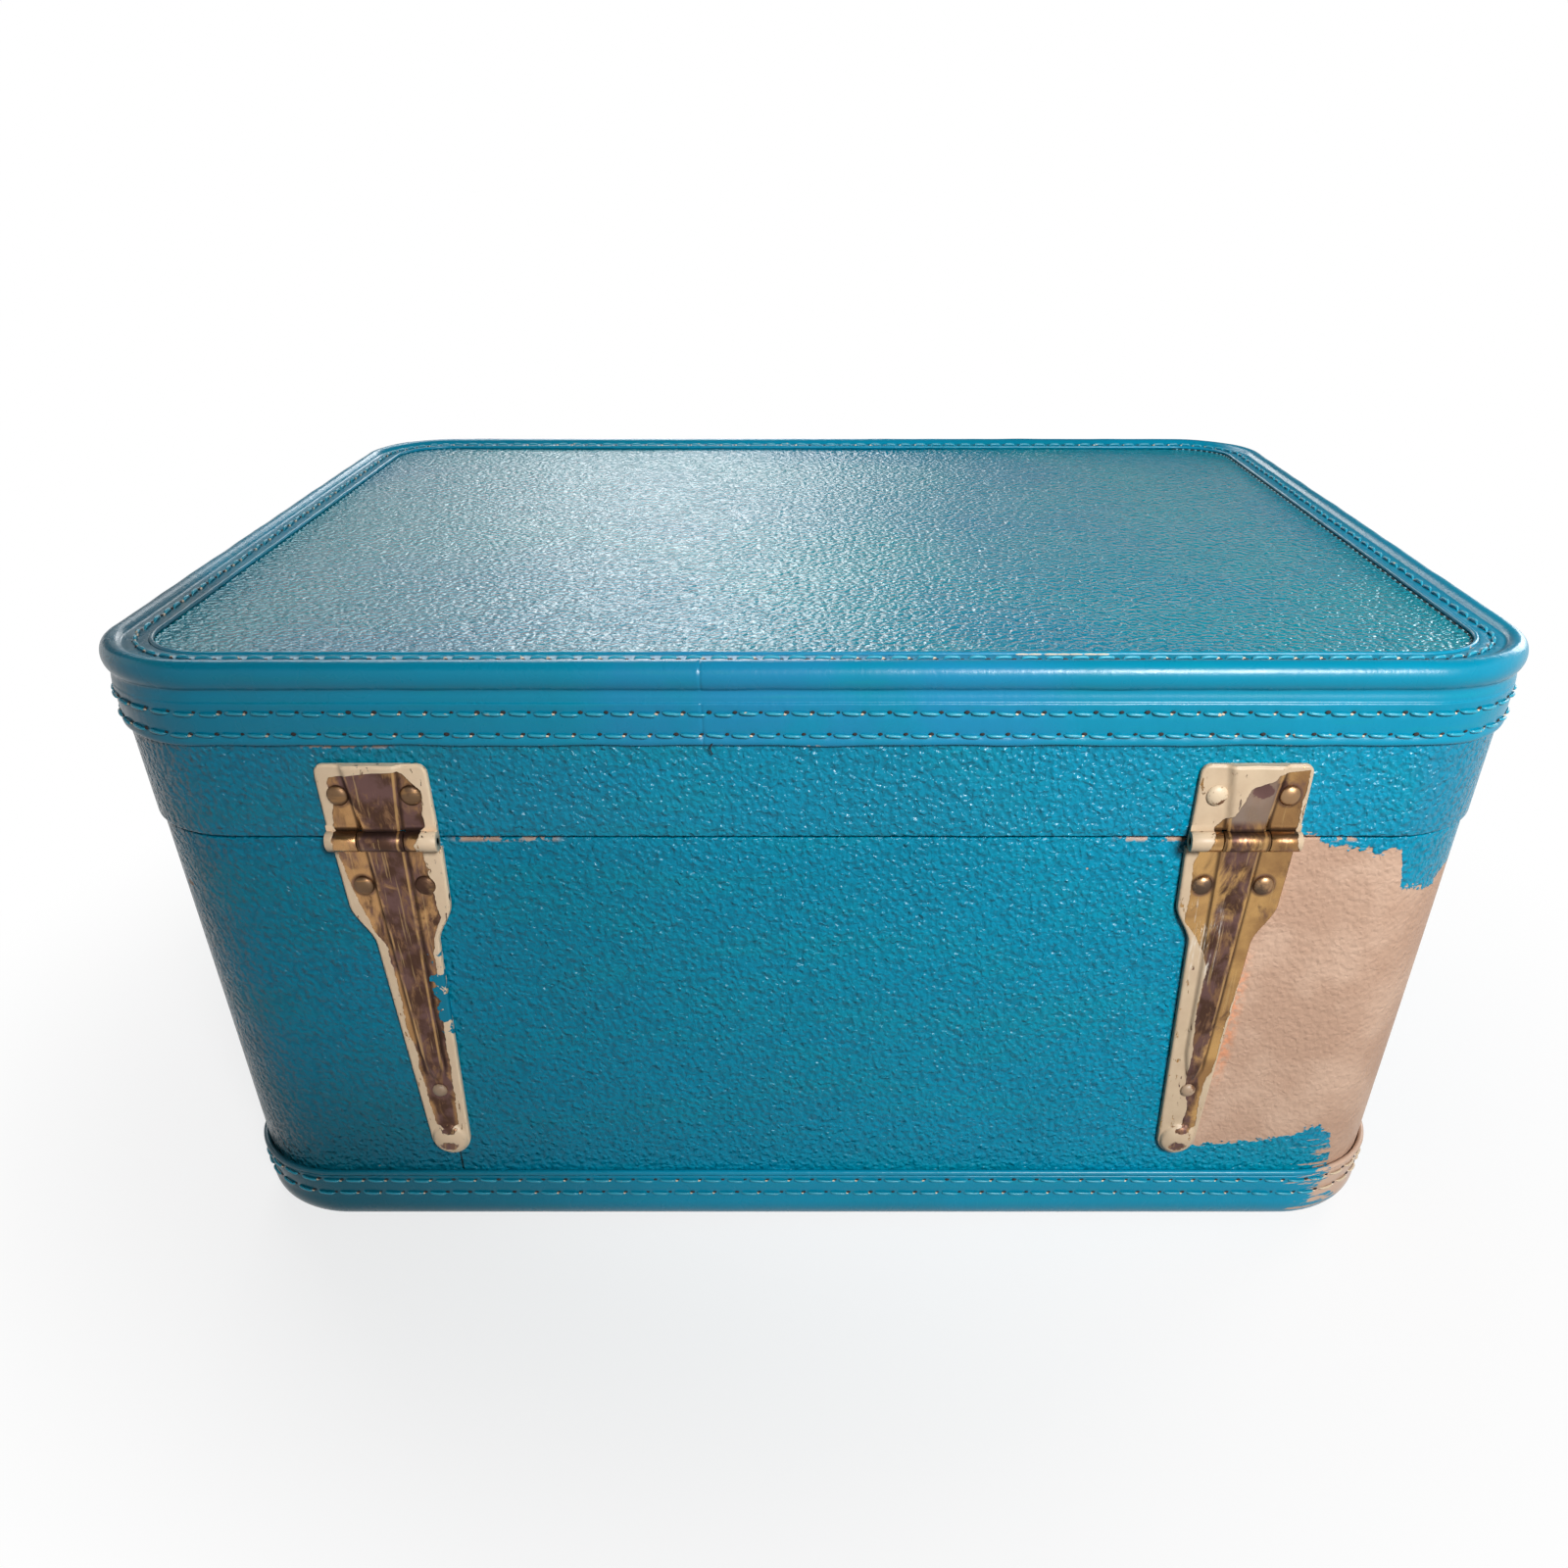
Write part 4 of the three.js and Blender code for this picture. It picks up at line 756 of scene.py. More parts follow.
def aged_brass(name, light, dark, share, roughness):
    """Brass hardware away from the hinges' paint: browned in patches, with fine scratches over it."""
    surface = Surface(name, metallic=1.0)
    patches = surface.noise(95, 5.0, 0.6, None, 0.62)
    patches = surface.step(surface.scaled(surface.noise(420, 3.0), 0.2, patches), 0.7 - share, 0.86 - share)
    fine = surface.noise(600, 3.0)
    scratches = surface.step(surface.noise(500, 3.0, 0.3, surface.stretched(0.16, 1, 1.6)), 0.58, 0.66)
    clean = surface.mix(surface.noise(50, 3.0) * 0.5, light, BROWNED_GOLD)
    colour = surface.mix(patches, surface.mix(scratches * 0.5, clean, BROWNED_GOLD), dark)
    surface.set(base_color=colour)
    dulled = surface.scaled(surface.noise(180, 4.0), 0.16, surface.blend(patches, roughness, roughness + 0.2))
    surface.set(roughness=dulled - 0.06)
    pits = surface.bump(fine, 0.04 * MM, 0.5)
    surface.set(normal=surface.bump(surface.noise(140, 2.0), 0.2 * MM, 0.3, pits))
    return surface.material


def missed_rivet(name, paint):
    """A rivet head under the hinges' cream paint, worn through at its rim."""
    surface = Surface(name, roughness=0.45)
    worn = surface.step(surface.noise(420, 3.0), 0.56, 0.62)
    surface.set(base_color=surface.mix(worn, paint, BRONZE))
    surface.set(metallic=worn * 0.8)
    surface.set(normal=surface.bump(surface.noise(500, 3.0), 0.12 * MM, 0.6))
    return surface.material


def dull_steel():
    surface = Surface("dull_steel", metallic=1.0)
    lines = surface.noise(900, 3.0, 0.0, surface.stretched(1, 1, 0.08))
    rust = surface.step(surface.noise(130, 4.0), 0.62, 0.75)
    clean = surface.mix(lines, srgb(150, 150, 148), srgb(186, 186, 182))
    surface.set(base_color=surface.mix(rust, clean, BRONZE))
    surface.set(roughness=surface.blend(rust, 0.36, 0.7), normal=surface.bump(lines, 0.03 * MM, 0.4))
    return surface.material


def woven_cloth(name, light, dark, scale=1.0):
    """Plain-woven cloth: threads crossing at right angles on every wall, whichever way it faces."""
    surface = Surface(name, roughness=0.9, sheen_weight=0.35, sheen_roughness=0.5)
    threads = []
    inputs = {"Vector": surface.place, "Scale": 330 * scale, "Distortion": 0.6, "Detail Scale": 2.0}
    for axis in "XZY":
        bands = {"wave_type": "BANDS", "bands_direction": axis}
        threads.append(surface.out("ShaderNodeTexWave", "Fac", inputs, **bands))
    weave = threads[0] * threads[1] + threads[2] * 0.5
    slubs = surface.noise(240, 3.0, 0.0, surface.stretched(0.2, 0.2, 2.0))
    tone = surface.scaled(weave, 0.4, slubs * 0.6)
    colour = surface.mix(tone, dark, light)
    stain = surface.step(surface.noise(14, 4.0), 0.52, 0.75)
    surface.set(base_color=surface.mix(stain * 0.25, colour, srgb(150, 118, 80)))
    surface.set(normal=surface.bump(weave + slubs, 0.12 * MM, 0.7))
    return surface.material


def plywood():
    surface = Surface("plywood", roughness=0.75)
    rings = surface.noise(30, 4.0, 1.5, surface.stretched(0.15, 0.15, 6.0))
    surface.set(base_color=surface.mix(rings, srgb(196, 160, 112), srgb(150, 108, 66)))
    surface.set(normal=surface.bump(rings, 0.1 * MM, 0.5))
    return surface.material


def painted_leather():
    surface = Surface("painted_leather", coat_weight=0.2, coat_roughness=0.25)
    grain = surface.noise(620, 3.0, 0.8)
    creases = surface.cells(260, surface.stretched(1, 1, 1.4), "DISTANCE_TO_EDGE")
    worn = surface.step(surface.noise(55, 4.0), 0.66, 0.74)
    paint = surface.mix(surface.noise(30, 3.0), TEAL, TEAL_DEEP)
    surface.set(base_color=surface.mix(worn, paint, srgb(120, 84, 58)))
    surface.set(roughness=surface.blend(grain, 0.34, 0.5))
    relief = surface.bump(surface.step(creases, 0.0, 0.12), 0.12 * MM, 0.5)
    surface.set(normal=surface.bump(grain, 0.1 * MM, 0.5, relief))
    return surface.material


wall_paint = painted_vinyl("wall_paint", 0.2, 0.15, 1.0 * MM)
lid_wall_paint = painted_vinyl("lid_wall_paint", 0.18, 0.19, 1.0 * MM, TEAL, True)
top_paint = painted_vinyl("top_paint", 0.17, 0.3, 0.72 * MM, srgb(0, 136, 152))
binding_paint = painted_binding("binding_paint")
thread_paint = painted_thread()
thread_bare = tinted("bare_thread", 0.7, 300, srgb(232, 220, 200), srgb(190, 160, 130), 2600, 0.06 * MM)
thread_light = tinted("light_thread", 0.3, 200, srgb(60, 160, 180), srgb(150, 190, 198), 2400, 0.05 * MM)
# Painted shade: the dark of the dots that stand for needle holes; the loose dark thread end by the butt joint
# takes it too.
hole_shade_and_dark_thread = tinted("needle_hole", 0.9, 400, srgb(14, 26, 34), srgb(52, 40, 36))
hinge_paint = {
    # This hinge's cream is made paler as painted light.
    "right": worn_brass(
        "dull_hinge", LEFT_IN_PHOTO_PLUS, LEFT_IN_PHOTO_MINUS, TAN, 0.2, CREAM_WITH_PAINTED_LIGHT, smear=TEAL_SMEAR
    ),
    "left": worn_brass(
        "bright_hinge", RIGHT_IN_PHOTO_PLUS, RIGHT_IN_PHOTO_MINUS, GOLD, 0.1, OLD_CREAM,
        scratched=0.9, grey_leaf=True,
    ),
}
latch_brass = aged_brass("latch_brass", srgb(200, 160, 96), BRONZE, 0.05, 0.26)
rivet_bronze = aged_brass("rivet_bronze", RIVET_GREY, TARNISH, 0.12, 0.42)
rivet_gold = aged_brass("rivet_gold", srgb(160, 128, 96), RIVET_GREY, 0.2, 0.3)
rivet_paint = missed_rivet("rivet_paint", MISSED)
rivet_cream = missed_rivet("rivet_cream", CREAM)
steel = dull_steel()
lining_cloth = woven_cloth("lining_cloth", srgb(222, 204, 172), srgb(186, 160, 122))
lip_cloth = woven_cloth("lip_cloth", srgb(190, 152, 108), srgb(146, 108, 70), 1.4)
board = plywood()
grip_leather = painted_leather()


# The coverings: skins turned over the edges of the boards


def covering_ring(name, low, high, proud, material, body, node, turned_top):
    inner = -COVERING - BOARD - SEAT_GAP + proud
    skin = 0.06 * MM
    if turned_top:
        corners = [(proud - COVERING, low), (proud, low), (proud, high + skin), (inner, high + skin)]
        corners += [(inner, high + 0.02 * MM), (proud - COVERING, high + 0.02 * MM)]
        radii = (0, 0, 0.8 * MM, 0.05 * MM, 0, 0)
    else:
        corners = [(proud - COVERING, high), (proud - COVERING, low - 0.02 * MM), (inner, low - 0.02 * MM)]
        corners += [(inner, low - skin), (proud, low - skin), (proud, high)]
        radii = (0, 0, 0, 0.05 * MM, 0.8 * MM, 0)
    profile = filled_in(rounded(corners, radii), 4 * MM)
    s = steps_around(2.2 * MM)
    height = profile[:, 1][None, :]
    uneven = waves(s, (61 * MM, 43 * MM, 97 * MM), 3)[:, None] * np.sin(height / (19 * MM))
    uneven = uneven + waves(s, (33 * MM, 151 * MM), 5)[:, None] * np.cos(height / (31 * MM))
    outside = (profile[:, 0] > proud - 0.2 * COVERING)[None, :]
    swell = 0.11 * MM * uneven * outside
    return fit(ring_piece(name, s, profile, material, swell), body, "covering", node)


def flat_outline(offset, step):
    point, normal = around(steps_around(step))
    return point + normal * offset


def panel_piece(name, offset, bottom, top, material, step, rings, edge=1.2 * MM):
    """A slab inside the outline, as rings that shrink to its middle, with a rounded upper edge."""
    outline = flat_outline(offset, step)
    middle = np.array([0.0, MIDDLE_Y])
    rows = [np.column_stack([outline, np.full(len(outline), bottom)])]
    for turn in np.linspace(0, math.pi / 2, 5):
        rim = flat_outline(offset - edge * (1 - math.cos(turn)), step)
        rows.append(np.column_stack([rim, np.full(len(rim), top - edge + edge * math.sin(turn))]))
    rim = flat_outline(offset - edge, step)
    for ring in range(1, rings + 1):
        share = 1 - ring / rings
        plan = middle + (rim - middle) * max(share, 0.004)
        rows.append(np.column_stack([plan, np.full(len(plan), top)]))
    return grid_piece(name, np.array(rows), material, False, True, None, caps=True)


covering_ring("base_covering", base_low.z, BASE_TOP, 0.0, wall_paint, "base", "base_wall_covering", True)
covering_ring("lid_covering", SEAM, lid_high.z, LID_PROUD, lid_wall_paint, "lid", "lid_wall_covering", False)


def lid_top():
    low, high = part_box("lid_top_covering")
    offset = high.x - WIDTH / 2
    piece = panel_piece("lid_panel", offset, low.z, high.z, top_paint, 3 * MM, 150)
    count = len(piece.data.vertices)
    places = np.zeros(count * 3)
    piece.data.vertices.foreach_get("co", places)
    places = places.reshape(-1, 3)
    x, y = places[:, 0] / MM, (places[:, 1] - MIDDLE_Y) / MM
    upper = places[:, 2] > high.z - 0.1 * MM
    reach = np.maximum(np.abs(x) / (WIDTH / 2 / MM), np.abs(y) / (DEPTH / 2 / MM))
    ease = np.clip((1 - reach) / 0.12, 0, 1)
    swell = 0.16 * np.sin(x / 41 + 0.6) * np.cos(y / 33) + 0.1 * np.sin(x / 23 - y / 29 + 1.1)
    places[:, 2] += np.where(upper, swell * ease * MM, 0)
    piece.data.vertices.foreach_set("co", places.ravel())
    fit(piece, "lid", "covering", "lid_top_covering")


lid_top()


# The bindings, their beads and their stitches


def stitch_places(pitch, start):
    count = int(round(ROUND_IT / pitch))
    return (np.arange(count) * ROUND_IT / count + start) - ROUND_IT / 2


def nearest(s, places):
    """How far each s is from the nearest of evenly spaced places, with its sign."""
    pitch = places[1] - places[0]
    return (s - places[0] + pitch / 2) % pitch - pitch / 2


def pulled_in(s, across, rows, pitch):
    """How deep a row of stitches pulls the binding in, for each s and each distance across."""
    depth = np.zeros((len(s), len(across)))
    for row, start in rows:
        places = stitch_places(pitch, start)
        gap = nearest(s + 0.45 * pitch, places)[:, None]
        trough = np.exp(-(((across - row) / (0.9 * MM)) ** 2))[None, :]
        pin = np.exp(-((gap / (1.1 * MM)) ** 2))
        depth += trough * (0.16 * MM + 0.26 * MM * pin)
    return depth


def lid_binding():
    roll_middle = (LID_PROUD + 2.1 * MM - LID_ROLL[0], LID_ROLL_TOP - LID_ROLL[1])
    bottom, out = LID_BAND_BOTTOM, LID_BAND_OUT
    inner = LID_PROUD + SEAT_GAP
    under = LID_STRIP_TOP - LID_STRIP
    roll_start = math.degrees(math.acos((LID_CREASE[0] - roll_middle[0]) / LID_ROLL[0]))
    roll_end = 180 - math.degrees(math.asin((LID_STRIP_TOP - roll_middle[1]) / LID_ROLL[1]))
    roll = ellipse(roll_middle, LID_ROLL, -roll_start, roll_end, 30)
    corners = [(inner, bottom), (out, bottom), (out, LID_CREASE[1] - 3.6 * MM)]
    corners += [(out - 0.2 * MM, LID_CREASE[1] - 1.3 * MM), LID_CREASE, *roll]
    corners += [(-LID_STRIP_REACH, LID_STRIP_TOP), (-LID_STRIP_REACH, under), (inner, under)]
    radii = [0, 0.5 * MM, 2 * MM, 1.2 * MM, 0.6 * MM, *[0] * len(roll), 0.4 * MM, 0.2 * MM, 0]
    profile = filled_in(rounded(corners, radii), 0.9 * MM)
    joint = BUTT_JOINT_S + np.linspace(-1.2, 1.2, 9) * MM
    s = steps_around(1.05 * MM, joint)
    offset, height = profile[:, 0], profile[:, 1]
    on_band = (offset > out - 0.1 * MM) & (height < LID_CREASE[1])
    across = np.where(on_band, height, -1.0)
    swell = -pulled_in(s, across, [(LID_ROWS[0], 0.0), (LID_ROWS[1], 2.4 * MM)], LID_PITCH)
    on_strip = (height > LID_STRIP_TOP - 0.2 * MM) & (offset < roll_middle[0] - 2 * MM)
    across = np.where(on_strip, offset, -1.0)
    swell -= pulled_in(s, across, [(TOP_ROW_OFFSET, 1.1 * MM)], LID_PITCH)
    on_roll = (height > LID_CREASE[1] + 1 * MM) & (offset > 0)
    soft = waves(s, (21 * MM, 37 * MM, 58 * MM, 130 * MM), 11)[:, None]
    swell += 0.13 * MM * soft * on_roll[None, :]
    swell += 0.09 * MM * waves(s, (17 * MM, 29 * MM, 71 * MM), 12)[:, None] * on_band[None, :]
    swell += 0.4 * MM * (np.exp(-(((height - bottom - 1.1 * MM) / (0.8 * MM)) ** 2)) * on_band)[None, :]
    joint_gap = np.exp(-(((s - BUTT_JOINT_S) / (0.35 * MM)) ** 2))[:, None]
    swell -= 0.22 * MM * joint_gap * (on_roll | on_band)[None, :]
    points = swept(s, profile, swell)
    near_edge = np.exp(-((height - bottom) / (1.5 * MM)))[None, :] * (height < bottom + 6 * MM)[None, :]
    points[:, :, 2] += 0.35 * MM * waves(s, (26 * MM, 47 * MM, 90 * MM), 13)[:, None] * near_edge
    along = np.append(s, s[0] + ROUND_IT)
    piece = grid_piece("lid_binding", points, binding_paint, True, True, along)
    fit(piece, "lid", "binding", "lid_edge_binding")


def base_binding():
    roll_middle = (BASE_ROLL_OUT - BASE_ROLL[0], BASE_ROLL[1])
    out, top = BASE_BAND_OUT, BASE_BAND_TOP
    band_angle = math.degrees(math.acos((out - roll_middle[0]) / BASE_ROLL[0]))
    roll = ellipse(roll_middle, BASE_ROLL, -112, band_angle, 34)
    strip_top = BASE_STRIP + 1.6 * MM
    corners = [(-BASE_STRIP_REACH, BASE_STRIP), *roll, (out, top), (SEAT_GAP, top), (SEAT_GAP, strip_top)]
    corners += [(-BASE_STRIP_REACH, strip_top)]
    radii = [0.4 * MM, *[0] * len(roll), 0.5 * MM, 0, 0, 0]
    profile = filled_in(rounded(corners, radii), 0.9 * MM)
    s = steps_around(1.2 * MM)
    offset, height = profile[:, 0], profile[:, 1]
    on_band = (offset > out - 0.2 * MM) & (height > BASE_ROWS[1] - 3 * MM)
    across = np.where(on_band, height, -1.0)
    swell = -pulled_in(s, across, [(BASE_ROWS[0], 0.0), (BASE_ROWS[1], 3.1 * MM)], BASE_PITCH)
    outside = (offset > 0.5 * MM) & (height > 2 * MM)
    swell += 0.1 * MM * waves(s, (23 * MM, 39 * MM, 83 * MM), 21)[:, None] * outside[None, :]
    along = np.append(s, s[0] + ROUND_IT)
    piece = grid_piece("base_binding", swept(s, profile, swell), binding_paint, True, True, along)
    fit(piece, "base", "binding", "base_edge_binding")


def bead(name, node, body, offset, height, radius, sides=12):
    profile = ellipse((offset, height), (radius, radius), 0, 360, sides)[:-1]
    s = steps_around(1.6 * MM)
    swell = 0.08 * MM * waves(s, (13 * MM, 31 * MM, 55 * MM), 31)[:, None] * np.ones(len(profile))
    fit(ring_piece(name, s, profile, binding_paint, swell), body, "binding", node)


def stitches(name, body, rows, pitch, length, on_top=False):
    """Rows of thread: each stitch is a short rod that dips at its ends and leans a little."""
    ring, along = 8, 9
    turns = circle(ring)
    t = np.linspace(-1, 1, along)
    girth = np.sqrt(np.clip(1 - t**4, 0.02, 1))
    radius = 0.5 * MM
    blocks, all_s, holes, specks = [], [], [], []
    for row, offset, start in rows:
        places = stitch_places(pitch, start)
        jitter = random.normal(0, 0.12 * MM, (len(places), 2))
        lean = 0.07 + random.normal(0, 0.02, len(places))
        s = places[:, None] + t[None, :] * length / 2 + jitter[:, :1]
        across = t[None, :] * length / 2 * lean[:, None] + jitter[:, 1:]
        all_s.append(s)
        lift = (0.3 * MM + 0.16 * MM * (1 - t**2) - 0.75 * MM * np.abs(t) ** 6)[None, :]
        point, normal = around(s.ravel())
        point, normal = point.reshape(*s.shape, 2), normal.reshape(*s.shape, 2)
        side = np.cos(turns)[None, None, :] * radius * girth[None, :, None]
        rise = np.sin(turns)[None, None, :] * radius * girth[None, :, None]
        if on_top:
            out = row + across[:, :, None] + side
            up = np.broadcast_to(offset + lift[:, :, None] + rise, out.shape)
        else:
            out = offset + lift[:, :, None] + rise + np.zeros_like(across)[:, :, None]
            up = row + across[:, :, None] + side
        plan = point[:, :, None, :] + normal[:, :, None, :] * out[..., None]
        blocks.append(np.concatenate([plan, up[..., None]], axis=3))
        end = places - length / 2 - 0.25 * MM
        sizes = random.uniform(0.7, 1.15, len(end))
        holes.extend((a, row + 0.42 * MM, offset, b) for a, b in zip(end, sizes))
        shown = random.random(len(end)) < 0.5
        specks.extend((a + 0.55 * MM, row - 0.12 * MM, offset, 1.0) for a in end[shown])
    points = np.concatenate(blocks).reshape(-1, along, ring, 3)
    count = len(points)
    one = grid_faces(along, ring, False, True)
    faces = (one[None] + (np.arange(count) * along * ring)[:, None, None]).reshape(-1, 4).tolist()
    for index in range(count):
        first = index * along * ring
        faces.append(list(range(first, first + ring)))
        last = first + (along - 1) * ring
        faces.append(list(range(last + ring - 1, last - 1, -1)))
    along_s = np.broadcast_to(np.concatenate(all_s)[:, :, None], points.shape[:3])
    flat = np.stack([along_s.ravel(), points[..., 2].ravel()], -1)
    uvs = flat[np.concatenate([np.asarray(face) for face in faces])]
    fit(mesh_piece(name, points, faces, thread_paint, uvs), body, "binding")
    # Painted shade: dark dots standing for the needle holes at the stitches' ends.
    fit(dots(name + "_holes", holes, (0.75, 0.5, 0.2), hole_shade_and_dark_thread, on_top), body, "binding")
    fit(dots(name + "_ends", specks, (0.62, 0.34, 0.42), thread_bare, on_top), body, "binding")


def dots(name, places, size, material, on_top):
    """Small rounded lumps on the shell at (s, row, offset, scale); size is along, across and out, in mm."""
    rings, sides = 5, 8
    polar = np.linspace(0, math.pi, rings)[:, None]
    turn = circle(sides)[None, :]
    radius = np.maximum(np.sin(polar), 0.05)
    ball = np.stack([radius * np.cos(turn), radius * np.sin(turn), np.cos(polar) + 0 * turn], -1)
    s, row, offset, scale = np.array(places).T
    reach = ball[None] * scale[:, None, None, None] * np.array(size) * MM
    point, normal = around((s[:, None, None] + reach[..., 0]).ravel())
    shape = reach.shape[:3]
    point, normal = point.reshape(*shape, 2), normal.reshape(*shape, 2)
    out, up = offset[:, None, None] + reach[..., 2], row[:, None, None] + reach[..., 1]
    if on_top:
        out, up = row[:, None, None] + reach[..., 1], offset[:, None, None] + reach[..., 2]
    points = np.concatenate([point + normal * out[..., None], up[..., None]], -1)
    one = grid_faces(rings, sides, False, True)
    each = rings * sides
    faces = (one[None] + (np.arange(len(s)) * each)[:, None, None]).reshape(-1, 4).tolist()
    for index in range(len(s)):
        faces.append(list(range(index * each, index * each + sides)))
        faces.append(list(range((index + 1) * each - 1, (index + 1) * each - 1 - sides, -1)))
    return mesh_piece(name, points, faces, material)


lid_binding()
base_binding()
welt_low, welt_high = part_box("base_welt")
panel_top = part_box("lid_top_covering")[1].z
bead("lid_bead", "lid_welt", "lid", -LID_STRIP_REACH - LID_BEAD, panel_top + LID_BEAD, LID_BEAD)
bead("base_bead", "base_welt", "base", welt_high.x - WIDTH / 2 - BEAD, (welt_low.z + welt_high.z) / 2, BEAD)
lid_rows = [(LID_ROWS[0], LID_BAND_OUT, 0.0), (LID_ROWS[1], LID_BAND_OUT, 2.4 * MM)]
base_rows = [(BASE_ROWS[0], BASE_BAND_OUT, 0.0), (BASE_ROWS[1], BASE_BAND_OUT, 3.1 * MM)]
stitches("lid_stitches", "lid", lid_rows, LID_PITCH, 5.9 * MM)
stitches("lid_top_stitches", "lid", [(TOP_ROW_OFFSET, LID_STRIP_TOP, 1.1 * MM)], LID_PITCH, 5.4 * MM, True)
stitches("base_stitches", "base", base_rows, BASE_PITCH, 6.6 * MM)


def joint_thread():
    """A short dark thread end that hangs below the band's lower edge, beside the butt joint."""
    t = np.linspace(0, 1, 12)
    s = BUTT_JOINT_S - 2.6 * MM + 0.7 * MM * np.sin(3 * t)
    point, normal = around(s)
    out = LID_BAND_OUT + 0.55 * MM - 0.9 * MM * t
    z = LID_BAND_BOTTOM + (0.9 - 3.4 * t) * MM
    rows = []
    for (x, y), (nx, ny), height, away in zip(point, normal, z, out):
        turn = circle(6)
        reach = away + 0.22 * MM * np.sin(turn)
        side = 0.22 * MM * np.cos(turn)
        across, back = x + nx * reach - ny * side, y + ny * reach + nx * side
        rows.append(np.column_stack([across, back, np.full(6, height)]))
    piece = grid_piece("joint_thread", np.array(rows), hole_shade_and_dark_thread, False, True, None, caps=True)
    fit(piece, "lid", "binding")


def sewn_crack():
    """Small stitches, and dark dots as painted shade of their holes, where the top panel's covering is sewn
    down beside the bead.
    """
    places = np.arange(STRAIGHT_X / 2 + 0.3 * QUARTER, STRAIGHT_X / 2 + 2 * QUARTER + STRAIGHT_Y, CRACK_PITCH)
    # Painted shade: dark dots where the needle holes along the crack are.
    dark = [(-s, CRACK_OFFSET, panel_top, 1.0) for s in places]
    light = [(s + CRACK_PITCH / 2, CRACK_OFFSET, panel_top, 1.0) for s in np.concatenate([places, -places])]
    edge = -LID_STRIP_REACH - 0.1 * MM
    worn = [(s * MM, edge, LID_STRIP_TOP, 1.0) for s in (-58, -61.5, -66, -69.5, -73, -77, -80.5)]
    fit(dots("crack_hole_shade", dark, (1.3, 0.45, 0.22), hole_shade_and_dark_thread, True), "lid", "binding")
    fit(dots("crack_threads", light, (0.8, 0.32, 0.3), thread_light, True), "lid", "binding")
    fit(dots("worn_edge", worn, (2.2, 0.28, 0.3), thread_bare, True), "lid", "binding")


sewn_crack()
joint_thread()


# Hinges

KNUCKLE = 3 * MM
PIN_OUT = HINGE_Y - BACK_Y
LEAF_IN, LEAF_FACE = LID_PROUD + SEAT_GAP, LID_PROUD + SEAT_GAP + 1.6 * MM
STRAP_IN, STRAP_FACE = SEAT_GAP, SEAT_GAP + 2 * MM
LEAF_HALF, LEAF_TOP = 16.15 * MM, 22.8 * MM
NOTCH_HALF = 7 * MM
MIDDLE_KNUCKLE_HALF = 6.7 * MM
STRAP_LENGTH = 119.4 * MM
TAIL_HALF = 6.6 * MM
RIB_LENGTH = 84 * MM


def ease(value, low, high):
    share = np.clip((value - low) / (high - low), 0, 1)
    return share * share * (3 - 2 * share)


def strap_half_width(z):
    """Half the strap's width at a height over the seam, which is negative on the strap."""
    down = -z
    upper = 16.25 * MM - 0.85 * MM * np.clip(down / (22 * MM), 0, 1)
    step = 5.65 * MM * ease(down, 22 * MM, 36 * MM)
    lower = 3.15 * MM * np.clip((down - 36 * MM) / (STRAP_LENGTH - TAIL_HALF - 36 * MM), 0, 1)
    past = np.clip(down - (STRAP_LENGTH - TAIL_HALF), 0, TAIL_HALF)
    return (upper - step - lower) * np.sqrt(np.clip(1 - (past / TAIL_HALF) ** 2, 0.0004, 1))


def strap_height(u, z):
    down = -z
    rib_half = 5.8 * MM - 2.6 * MM * np.clip(down / RIB_LENGTH, 0, 1)
    rib_half = rib_half * np.sqrt(np.clip((RIB_LENGTH + 4 * MM - down) / (12 * MM), 0, 1))
    on_rib = ease(rib_half + 0.5 * MM - np.abs(u), 0, 1.0 * MM)
    crown = 1 - 0.3 * np.clip(np.abs(u) / np.maximum(rib_half, 0.1 * MM), 0, 1) ** 2
    rib = 1.6 * MM * on_rib * crown * ease(rib_half, 0, 2 * MM)
    tail_gap = np.hypot(u, z + STRAP_LENGTH - TAIL_HALF)
    dome = 1.9 * MM * np.sqrt(np.clip(1 - (tail_gap / (5.9 * MM)) ** 2, 0, 1))
    shoulder = 0.25 * MM * ease(6.2 * MM - np.abs(u), 0, 1 * MM) * ease(-tail_gap, -6.6 * MM, -5.4 * MM)
    dent = 0.12 * MM * np.sin(z / (9 * MM) + 1) * np.cos(u / (5 * MM))
    return rib + dome + shoulder + dent


def leaf_half_width(z):
    past = np.clip(z - (LEAF_TOP - 3 * MM), 0, 3 * MM)
    return LEAF_HALF - 3 * MM + np.sqrt(np.clip((3 * MM) ** 2 - past**2, 0, None))


def leaf_height(u, z):
    rib_half = 5.6 * MM + 2.6 * MM * np.clip(z / LEAF_TOP, 0, 1) ** 1.5
    on_rib = ease(rib_half + 0.9 * MM - np.abs(u), 0, 2 * MM)
    hollow = 0.5 * MM * ease(z, 9 * MM, 19 * MM) * np.exp(-((u / (4 * MM)) ** 2))
    bowed = 0.2 * MM * np.cos(u / (5 * MM)) * ease(z, 14 * MM, 22 * MM)
    return 1.4 * MM * on_rib - hollow + bowed


def hinge_sheet(name, points, u, z, material):
    """A closed sheet from rows of points, with u and z as its place on the hinge's map."""
    rows, columns = points.shape[:2]
    faces = grid_faces(rows, columns, False, True)
    caps = end_caps(rows, columns)
    places = np.stack([u.ravel(), z.ravel()], -1)
    uvs = np.concatenate([places[faces].reshape(-1, 2), *[places[cap] for cap in caps]])
    return mesh_piece(name, points, faces.tolist() + caps, material, uvs, 50)


